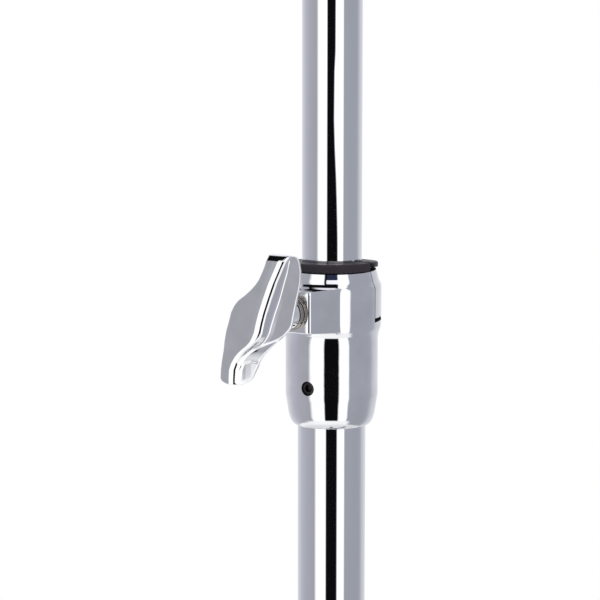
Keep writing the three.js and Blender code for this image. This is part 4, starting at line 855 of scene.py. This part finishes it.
def coil(radius, wire, turns, bottom, top, per_turn=56, sides=14):
    """The wire's centre goes round while it rises; near both ends it rises less, so that the end
    coils lie flat. A circle is carried along it, in the plane across its direction."""
    t = np.linspace(0, 1, int(turns * per_turn) + 1)
    angle = t * turns * FULL
    ease = 0.7 / turns
    rise = np.interp(t, [0, ease, 1 - ease, 1], [0, ease * 0.45, 1 - ease * 0.45, 1])
    rise = smoothed(rise, per_turn // 3, 0)
    rise = (rise - rise[0]) / (rise[-1] - rise[0])
    height = bottom + wire / 2 + rise * (top - bottom - wire)
    centre = np.stack([radius * np.cos(angle), radius * np.sin(angle), height], -1)
    forward = np.gradient(centre, axis=0)
    forward /= np.linalg.norm(forward, axis=1)[:, None]
    out = np.stack([np.cos(angle), np.sin(angle), 0 * angle], -1)
    up = np.cross(forward, out)
    around = np.linspace(0, FULL, sides, endpoint=False)
    points = (centre[:, None] + wire / 2 * (np.cos(around)[None, :, None] * out[:, None]
                                            + np.sin(around)[None, :, None] * up[:, None]))
    faces = grid_faces(len(t), sides).tolist()
    last = (len(t) - 1) * sides
    faces += [list(range(sides))[::-1], list(range(last, last + sides))]
    return points.reshape(-1, 3), faces


spring_steel = make_finish(
    "oiled spring steel", (0.09, 0.09, 0.095), (0.4, 0.4, 0.4), roughness=0.24, marks=0.15,
    mark_size=150.0, grain_size=1500.0, grain_depth=0.00002)
spring = make_piece(
    "spring_wire", coil(radius=8.6, wire=2.2, turns=7, bottom=SPRING_LOW, top=SPRING_HIGH), "base",
    spring_steel, ["return_spring"])
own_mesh(spring)

# Stop bumper. A moulded nylon bush, pressed into the base's socket from below, which the rod's
# collar stops on.
BUMPER_RADIUS, BUMPER_FLANGE = 10.5, 12.5
BUMPER_LOW, BUMPER_FLANGE_HIGH, BUMPER_HIGH = 216.5, 219.5, 226.2
nylon_bush("bumper", "stop_bumper", "base", ROD_BORE, BUMPER_LOW,
           [(BUMPER_FLANGE, BUMPER_FLANGE_HIGH), (BUMPER_RADIUS, BUMPER_HIGH)])

# Pull rod. Two chromed steel rods, a hexagon coupling nut inside the upper tube, a nickelled
# collar that presses the spring and a clevis that the chain hangs on.
rod_chrome = make_finish(
    "chrome on rod", (0.85, 0.86, 0.88), (0.93, 0.93, 0.94), roughness=0.03, marks=0.05,
    mark_size=60.0, grain_size=300.0, grain_depth=0.00001, stretch=(1, 1, 0.1))
ROD_RADIUS = 3.0
ROD_FOOT, ROD_JOINT, ROD_TOP = 119.8, 590.0, 1111.05
ROD_GAP = 0.15
COUPLING_LOW, COUPLING_HIGH = 575.0, 605.0
COUPLING_FLAT, COUPLING_FACE, COUPLING_CHAMFER = 4.763, 4.5, 0.6
ROD_COLLAR_RADIUS, ROD_COLLAR_LOW, ROD_COLLAR_HIGH = 11.0, 209.7, 216.2
make_piece("lower_pull_rod", pin(ROD_RADIUS, ROD_FOOT, ROD_JOINT - ROD_GAP), "pull_rod",
           rod_chrome, ["lower_rod"])
make_piece("upper_pull_rod", pin(ROD_RADIUS, ROD_JOINT + ROD_GAP, ROD_TOP), "pull_rod",
           rod_chrome, ["upper_rod"])
coupling_side = hexagon(COUPLING_FLAT)
make_piece("coupling_nut",
           turned([(ROD_BORE, COUPLING_LOW), (COUPLING_FACE, COUPLING_LOW),
                   (coupling_side, COUPLING_LOW + COUPLING_CHAMFER),
                   (coupling_side, COUPLING_HIGH - COUPLING_CHAMFER),
                   (COUPLING_FACE, COUPLING_HIGH), (ROD_BORE, COUPLING_HIGH)]),
           "pull_rod", nickel, ["rod_coupling"])
make_piece("spring_collar",
           turned(stepped(ROD_BORE, ROD_COLLAR_LOW, [(ROD_COLLAR_RADIUS, ROD_COLLAR_HIGH)], 0.5)),
           "pull_rod", nickel, ["rod_collar"])
refined("rod_clevis", "pull_rod", nickel, 0.5)

# Chain. Three links of roller chain, stamped and nickel plated, on pins between the clevis and the
# footboard's toe.
for link in ("chain_link_1", "chain_link_2", "chain_link_3"):
    refined(link, "chain", nickel, 0.2)

# Footboard. An alloy casting with a long hollow underneath; a nickelled bracket at its toe holds
# the chain's last pin.
refined("footboard", "footboard", cast_alloy, 0.9)
refined("toe_bracket", "footboard", nickel, 0.4)

# Glide. A nylon plug pressed into the foot of the upper tube. Its flange runs in the lower tube.
# The pull rod passes through it.
PLUG_RADIUS, PLUG_FLANGE = 9.3, 11.2
PLUG_LOW, PLUG_FLANGE_HIGH, PLUG_HIGH = 433.7, 439.7, 454.0
nylon_bush("post_glide", "tube_glide", "post", ROD_BORE, PLUG_LOW,
           [(PLUG_FLANGE, PLUG_FLANGE_HIGH), (PLUG_RADIUS, PLUG_HIGH)])

# Cymbal seat. A chromed cap on the upper tube and a plate hinged to it on a pin; a knob with a
# captive screw tilts the plate, and a nylon cup with a felt on it carries the cymbals.
TILT_PIN_RADIUS, TILT_PIN_HALF = 1.5, 8.3
TILT_PIN_PLACE = (-23.5, 0, 849.6)
TILT_SCREW_PLACE = (26.0, 0, 0)
TILT_BORE, TILT_NECK = 2.8, 4.4
TILT_KNOB_LOW, TILT_KNOB_HIGH, TILT_NECK_HIGH = 832.0, 840.0, 846.3
CUP_BORE, CUP_RADIUS, CUP_FLANGE = 6.6, 8.1, 19.0
CUP_LOW, CUP_FLANGE_LOW, CUP_FLANGE_HIGH, CUP_HIGH = 849.25, 851.15, 853.85, 871.85
refined("seat_base", "post", pressed_chrome, 0.7)
refined("seat_plate", "cymbal_seat", pressed_chrome, 0.5)
points, faces = pin(TILT_PIN_RADIUS, -TILT_PIN_HALF, TILT_PIN_HALF)
make_piece("tilt_axle", (points[:, [0, 2, 1]] * (1, 1, -1) + TILT_PIN_PLACE, faces), "post",
           black_steel, ["tilt_pin"])
tilt_head = knob_section(TILT_BORE, radius=8.0, depth=1.2, count=12, bottom=TILT_KNOB_LOW,
                         top=TILT_KNOB_HIGH)
tilt_neck = [(TILT_NECK + 0.2, TILT_KNOB_HIGH), (TILT_NECK, TILT_KNOB_HIGH + 0.2),
             (TILT_NECK, TILT_NECK_HIGH - 0.3), (TILT_NECK - 0.3, TILT_NECK_HIGH),
             (TILT_BORE, TILT_NECK_HIGH)]
points, faces = turned(tilt_head[:-2] + tilt_neck, around=KNOB_AROUND)
make_piece("tilt_handle", (points + TILT_SCREW_PLACE, faces), "tilt_knob", rod_chrome,
           ["tilt_knob"])


def threaded(radius, bottom, top, pitch, depth, per_turn=36):
    """A rod whose radius falls by the thread's depth as a triangle wave of height and angle."""
    heights = np.arange(bottom, top + pitch / 16, pitch / 8)
    angles = np.linspace(0, FULL, per_turn, endpoint=False)
    phase = ((heights[:, None] - bottom) / pitch - angles / FULL) % 1
    radii = radius - depth * np.abs(2 * phase - 1)
    ends = [(0.0, heights[0]), (radius - 2 * depth, heights[0])]
    tops = [(radius - 2 * depth, heights[-1]), (0.0, heights[-1])]
    return turned(ends + list(zip(radii, heights)) + tops, around=per_turn, closed=False)


points, faces = threaded(radius=2.5, bottom=824.0, top=848.05, pitch=1.0, depth=0.35)
make_piece("tilt_thread", (points + TILT_SCREW_PLACE, faces), "tilt_screw",
           black_steel, ["tilt_screw"])
nylon_bush("cup", "seat_cup", "cymbal_seat", CUP_BORE, CUP_LOW,
           [(CUP_RADIUS, CUP_FLANGE_LOW), (CUP_FLANGE, CUP_FLANGE_HIGH), (CUP_RADIUS, CUP_HIGH)],
           edge=[0.2, 0.2, 0, 0.8, 0.8, 0.4, 0.5, 0.5])

# Felts. Rings cut from thick wool felt, laid loose round their sleeves: a soft edge, a slightly
# uneven face and loose fibres.
grey_felt = make_finish(
    "wool felt", (0.19, 0.19, 0.195), (0.3, 0.3, 0.3), roughness=0.95, marks=0.05, metal=0.0,
    wear=0.0, mark_size=120.0, grain_size=1100.0, grain_depth=0.0004, sheen=0.35)


def waves(x, y, z, seed, scale):
    """A smooth uneven height: a sum of sines of turned and scaled places."""
    random = np.random.default_rng(seed)
    total = 0 * x
    for step in range(7):
        direction = random.normal(size=3)
        direction *= scale * 1.5 ** step / np.linalg.norm(direction)
        total += np.sin(direction[0] * x + direction[1] * y + direction[2] * z
                        + random.uniform(0, FULL)) / 1.35 ** step
    return total / 3


def felt_ring(bore, radius, bottom, top, seed, round_by=1.4):
    """Rounded ring section with many points, each pulled inwards a little by uneven waves."""
    section = np.array(rounded([(bore, bottom), (radius, bottom), (radius, top), (bore, top)],
                               [0.5, round_by, round_by, 0.5], steps=7))
    closed = np.vstack([section, section[:1]])
    run = np.concatenate([[0], np.cumsum(np.hypot(*np.diff(closed, axis=0).T))])
    even = np.linspace(0, run[-1], 110, endpoint=False)
    section = np.stack([np.interp(even, run, closed[:, 0]), np.interp(even, run, closed[:, 1])], 1)
    points, faces = turned([tuple(p) for p in section], around=220)
    x, y, z = points.T
    uneven = 0.12 * waves(x, y, z, seed, 0.5) - 0.14
    middle_height = (bottom + top) / 2
    reach = np.hypot(x, y)
    inside = reach < bore + 0.6
    push = np.where(inside, 0, uneven)
    x, y = x * (1 + push / reach), y * (1 + push / reach)
    z = z + np.where(inside, 0, np.clip(z - middle_height, -1, 1) * uneven)
    return np.stack([x, y, z], -1), faces


for name, node, body, bore, radius, bottom, top, seed in [
        ("seat_felt_ring", "seat_felt", "cymbal_seat", 8.4, 19.0, 854.15, 864.15, 3),
        ("clutch_felt_lower", "felt_lower", "clutch", 6.3, 18.0, 984.45, 991.45, 5),
        ("clutch_felt_upper", "felt_upper", "clutch", 6.3, 18.0, 991.75, 998.75, 8)]:
    make_piece(name, felt_ring(bore, radius, bottom, top, seed), body, grey_felt,
               [node], sharp=80)

# Clutch. A chromed tube with a head, clamped on the pull rod by its wing screw; a hexagon nut with
# a washer face holds the felts from above and a scalloped nut from below.
CLUTCH_BORE = 6.3
NUT_FLAT, NUT_CORNER, NUT_BEVEL, NUT_CROWN = 9.526, 10.75, 9.52, 9.3
NUT_FACE, NUT_LOW, NUT_FACE_HIGH, NUT_HIGH = 15.0, 999.05, 1000.55, 1008.05
refined("clutch_body", "clutch", pressed_chrome, 0.5)
foot_nut = knob_section(CLUTCH_BORE, radius=11.0, depth=1.2, count=18, bottom=974.15, top=984.15)
make_piece("clutch_foot_nut", turned(foot_nut, around=KNOB_AROUND), "clutch_nut",
           rod_chrome, ["clutch_bottom_nut"])
nut_side = np.minimum(hexagon(NUT_FLAT), NUT_CORNER)
make_piece("clutch_head_nut",
           turned([(CLUTCH_BORE, NUT_LOW), (NUT_FACE - 0.3, NUT_LOW), (NUT_FACE, NUT_LOW + 0.25),
                   (NUT_FACE, NUT_FACE_HIGH - 0.3), (NUT_FACE - 0.3, NUT_FACE_HIGH),
                   (nut_side + 0.2, NUT_FACE_HIGH), (nut_side, NUT_FACE_HIGH + 0.25),
                   (nut_side, NUT_HIGH - 0.85), ((nut_side + NUT_BEVEL) / 2, NUT_HIGH - 0.15),
                   (NUT_CROWN, NUT_HIGH), (CLUTCH_BORE, NUT_HIGH)]),
           "clutch", rod_chrome, ["clutch_top_nut"])

# Floor. A pale round sheet; near the stand it takes the shadow, and towards its rim it glows as
# white as the backdrop. Polished metal mirrors only its middle, and the room beyond it.
FLOOR_RADIUS = 1350.0
FLOOR_TONES = 0.83, 0.86
# Distances from the tube's axis, in metres: where the floor begins to glow and where it is white,
# and where it fades from what metal mirrors
FLOOR_PLAIN, FLOOR_WHITE = 0.95, 1.3
FLOOR_MIRRORED, FLOOR_UNMIRRORED = 0.42, 0.55


def make_floor_material():
    """A matt, faintly speckled sheet, mixed by distance with a white glow, and then with a clear
    shader for glossy rays."""
    made = bpy.data.materials.new("floor")
    made.use_nodes = True
    tree = made.node_tree
    shader = tree.nodes["Principled BSDF"]
    place = add_node(tree, "ShaderNodeTexCoord").outputs["Object"]
    speckle = add_node(tree, "ShaderNodeTexNoise", {"Vector": place, "Scale": 600.0}).outputs["Fac"]
    tone = add_node(tree, "ShaderNodeMapRange",
                    {0: speckle, 3: FLOOR_TONES[0], 4: FLOOR_TONES[1]}).outputs[0]
    tree.links.new(add_node(tree, "ShaderNodeCombineColor", {0: tone, 1: tone, 2: tone}).outputs[0],
                   shader.inputs["Base Color"])
    shader.inputs["Roughness"].default_value = 0.8
    shader.inputs["Specular IOR Level"].default_value = 0.2
    away = add_node(tree, "ShaderNodeVectorMath", {0: place}, operation="LENGTH").outputs["Value"]
    fade = add_node(tree, "ShaderNodeMapRange", {0: away, 1: FLOOR_PLAIN, 2: FLOOR_WHITE},
                    interpolation_type="SMOOTHSTEP").outputs[0]
    glow = add_node(tree, "ShaderNodeEmission")
    both = add_node(tree, "ShaderNodeMixShader", {0: fade, 1: shader.outputs[0],
                                                  2: glow.outputs[0]})
    far = add_node(tree, "ShaderNodeMapRange",
                   {0: away, 1: FLOOR_MIRRORED, 2: FLOOR_UNMIRRORED}).outputs[0]
    mirrored = add_node(tree, "ShaderNodeLightPath").outputs["Is Glossy Ray"]
    gone = add_node(tree, "ShaderNodeMath", {0: far, 1: mirrored}, operation="MULTIPLY").outputs[0]
    clear = add_node(tree, "ShaderNodeBsdfTransparent")
    shown = add_node(tree, "ShaderNodeMixShader", {0: gone, 1: both.outputs[0],
                                                   2: clear.outputs[0]})
    tree.links.new(shown.outputs[0], tree.nodes["Material Output"].inputs["Surface"])
    return made


def make_floor():
    """One flat round face at height 0."""
    angles = np.linspace(0, FULL, 96, endpoint=False)
    rim = np.stack([np.cos(angles), np.sin(angles), 0 * angles], -1) * FLOOR_RADIUS * MILLIMETRE
    mesh = bpy.data.meshes.new("floor")
    mesh.from_pydata(rim.tolist(), [], [list(range(96))])
    mesh.materials.append(make_floor_material())
    made = bpy.data.objects.new("floor", mesh)
    bpy.context.scene.collection.objects.link(made)
    return made


make_floor()

# Studio. The backdrop is white. What polished metal mirrors is a grey room, with a white panel
# either side of the dark camera, a dark band above it and a white ceiling.
CAMERA_ANGLE = 212.0
CAMERA_PITCH = 9.0

# Azimuth from the camera's, then the colour that the room shows there
ROOM_GREYS = [
    (-178, 0.95, 0.95, 0.98), (-160, 0.76, 0.77, 0.82), (-136, 0.63, 0.63, 0.68),
    (-118, 0.51, 0.52, 0.58), (-93, 0.44, 0.44, 0.5), (-64, 0.4, 0.405, 0.44),
    (44, 0.385, 0.4, 0.45), (75, 0.37, 0.385, 0.43), (100, 0.375, 0.39, 0.445),
    (112, 0.41, 0.42, 0.47), (126, 0.6, 0.61, 0.65), (140, 0.68, 0.69, 0.73),
    (165, 0.8, 0.8, 0.84), (178, 0.95, 0.95, 0.98)]

# Elevation, then the azimuth where the dark gap between the white panels ends
GAP_LOW, GAP_HIGH, GAP_WIDEST = -8.6, -1.5, 50.0
GAP_EDGES = [(-8.5, 17.5), (-8.2, 21), (-7.4, 20.5), (-6.5, 17.3), (-6, 15), (-5.2, 9.5),
             (-4.5, 6.5), (-3.3, 8), (-2.8, 11.5), (-1.6, 12)]

# What the room holds, each laid over the ones before it: its colour, then the smooth steps that
# bound it. A step reads the azimuth, the distance from the camera's azimuth, or the elevation. It
# has an edge and a softness, which is negative where the thing lies below the edge.
ROOM_PANELS = [
    ("white panels", (1.2, 1.2, 1.2), [("azimuth", -57.5, 11.0), ("azimuth", 43.0, -5.0)]),
    ("dark gap", (0.004, 0.004, 0.005), [("azimuth", -20.0, 4.0), ("azimuth", "gap", -5.0)]),
    ("dark band", (0.004, 0.004, 0.005),
     [("azimuth", -83.0, 3.0), ("azimuth", 17.0, -3.0), ("elevation", 31.0, 4.0)]),
    ("white patch", (1.1, 1.1, 1.15),
     [("aside", 14.0, -4.0), ("elevation", 5.0, 2.0), ("elevation", 20.0, -2.0)]),
    ("navy edge", (0.025, 0.03, 0.07),
     [("aside", 14.0, -3.0), ("elevation", 21.0, 2.0), ("elevation", 30.0, -3.0)]),
    ("white ceiling", (1.0, 1.0, 1.03), [("elevation", 60.0, 8.0)]),
    ("white sheet", (1.05, 1.05, 1.05), [("elevation", -39.0, -5.0), ("azimuth", 54.0, -16.0)]),
    ("white floor", (1.0, 1.0, 1.02), [("elevation", -58.0, -8.0)])]


def ramp(tree, value, low, high, stops):
    """Colour of a value between low and high: it runs straight from stop to stop."""
    share = add_node(tree, "ShaderNodeMapRange", {0: value, 1: low, 2: high}).outputs[0]
    made = add_node(tree, "ShaderNodeValToRGB", {0: share})
    elements = made.color_ramp.elements
    for place, colour in stops:
        elements.new((place - low) / (high - low)).color = (*colour, 1)
    elements.remove(elements[0])
    elements.remove(elements[-1])
    return made.outputs[0]


def world_pattern(tree, direction):
    """Colour by direction. Azimuth from the camera's own and elevation are both in degrees; each
    panel's mask is a product of smooth steps, and mixes its colour over what is there."""
    split = add_node(tree, "ShaderNodeSeparateXYZ", {0: direction}).outputs
    angle = math.radians(CAMERA_ANGLE)

    def maths(operation, *values):
        """One number from the given ones."""
        return add_node(tree, "ShaderNodeMath", dict(enumerate(values)),
                        operation=operation).outputs[0]

    def step(value, edge, soft):
        """From 0 below the edge to 1 above it, or the other way when soft is negative."""
        low, high = (0.0, 1.0) if soft > 0 else (1.0, 0.0)
        half = abs(soft) / 2
        if edge == "gap":
            value, edge = maths("SUBTRACT", value, gap_edge), 0.0
        return add_node(tree, "ShaderNodeMapRange",
                        {0: value, 1: edge - half, 2: edge + half, 3: low, 4: high},
                        interpolation_type="SMOOTHSTEP").outputs[0]

    ahead = maths("ADD", maths("MULTIPLY", split[0], math.cos(angle)),
                  maths("MULTIPLY", split[1], math.sin(angle)))
    across = maths("ADD", maths("MULTIPLY", split[0], -math.sin(angle)),
                   maths("MULTIPLY", split[1], math.cos(angle)))
    azimuth = maths("DEGREES", maths("ARCTAN2", across, ahead))
    elevation = maths("DEGREES", maths("ARCSINE", split[2]))
    reads = {"azimuth": azimuth, "aside": maths("ABSOLUTE", azimuth), "elevation": elevation}
    gap_ramp = ramp(tree, elevation, GAP_LOW, GAP_HIGH,
                    [(height, [edge / GAP_WIDEST] * 3) for height, edge in GAP_EDGES])
    gap_edge = maths("MULTIPLY", gap_ramp, GAP_WIDEST)
    colour = ramp(tree, azimuth, -180.0, 180.0, [(row[0], row[1:]) for row in ROOM_GREYS])
    for name, panel, steps in ROOM_PANELS:
        mask = 1.0
        for read, edge, soft in steps:
            mask = maths("MULTIPLY", mask, step(reads[read], edge, soft))
        colour = add_node(tree, "ShaderNodeMix", {0: mask, 6: colour, 7: (*panel, 1)},
                          data_type="RGBA", label=name).outputs[2]
    return colour


def make_world():
    """The camera sees a white backdrop, mirrors see the room, and all else is lit evenly."""
    made = bpy.data.worlds.new("studio")
    made.use_nodes = True
    tree = made.node_tree
    direction = add_node(tree, "ShaderNodeTexCoord").outputs["Generated"]
    mirrored = add_node(tree, "ShaderNodeBackground", {"Color": world_pattern(tree, direction)})
    plain = add_node(tree, "ShaderNodeBackground", {"Color": (0.9, 0.9, 0.92, 1)})
    backdrop = add_node(tree, "ShaderNodeBackground", {"Color": (1, 1, 1, 1)})
    path = add_node(tree, "ShaderNodeLightPath").outputs
    lit = add_node(tree, "ShaderNodeMixShader", {0: path["Is Glossy Ray"], 1: plain.outputs[0],
                                                 2: mirrored.outputs[0]})
    seen = add_node(tree, "ShaderNodeMixShader", {0: path["Is Camera Ray"], 1: lit.outputs[0],
                                                  2: backdrop.outputs[0]})
    tree.links.new(seen.outputs[0], tree.nodes["World Output"].inputs["Surface"])
    return made


bpy.context.scene.world = make_world()
bpy.context.scene.view_settings.view_transform = "Standard"

# Soft box. One broad round lamp above the stand, on the camera's side, that shades the dull pieces
# softly and gives the floor a faint shadow. Polished metal doesn't mirror it.
soft_box = bpy.data.lights.new("soft box", "AREA")
soft_box.energy = 14.0
soft_box.shape = "DISK"
soft_box.size = 1.4
soft_box_object = bpy.data.objects.new("soft box", soft_box)
soft_box_object.location = (-1.2, -1.0, 2.6)
soft_box_object.rotation_euler = (math.radians(31), 0, math.radians(-50))
soft_box_object.visible_glossy = False
bpy.context.scene.collection.objects.link(soft_box_object)

# Camera. As in the photograph: close to the height clamp and a little above it, with a long lens.
# Its line of sight passes beside the tube's axis, so that the wing is in the frame.
CAMERA_AWAY = 0.85
CAMERA_HEIGHT = 0.6
CAMERA_ASIDE = 0.0118
turn_angle, pitch = math.radians(CAMERA_ANGLE), math.radians(CAMERA_PITCH)
camera_data = bpy.data.cameras.new("camera")
camera_data.lens = 137.4
camera_data.sensor_width = 36.0
camera_data.clip_start = 0.05
camera = bpy.data.objects.new("camera", camera_data)
camera.location = (
    math.cos(turn_angle) * math.cos(pitch) * CAMERA_AWAY + math.sin(turn_angle) * CAMERA_ASIDE,
    math.sin(turn_angle) * math.cos(pitch) * CAMERA_AWAY - math.cos(turn_angle) * CAMERA_ASIDE,
    CAMERA_HEIGHT + math.sin(pitch) * CAMERA_AWAY)
camera.rotation_euler = (math.radians(90) - pitch, 0, turn_angle + math.radians(90))
bpy.context.scene.collection.objects.link(camera)
bpy.context.scene.camera = camera
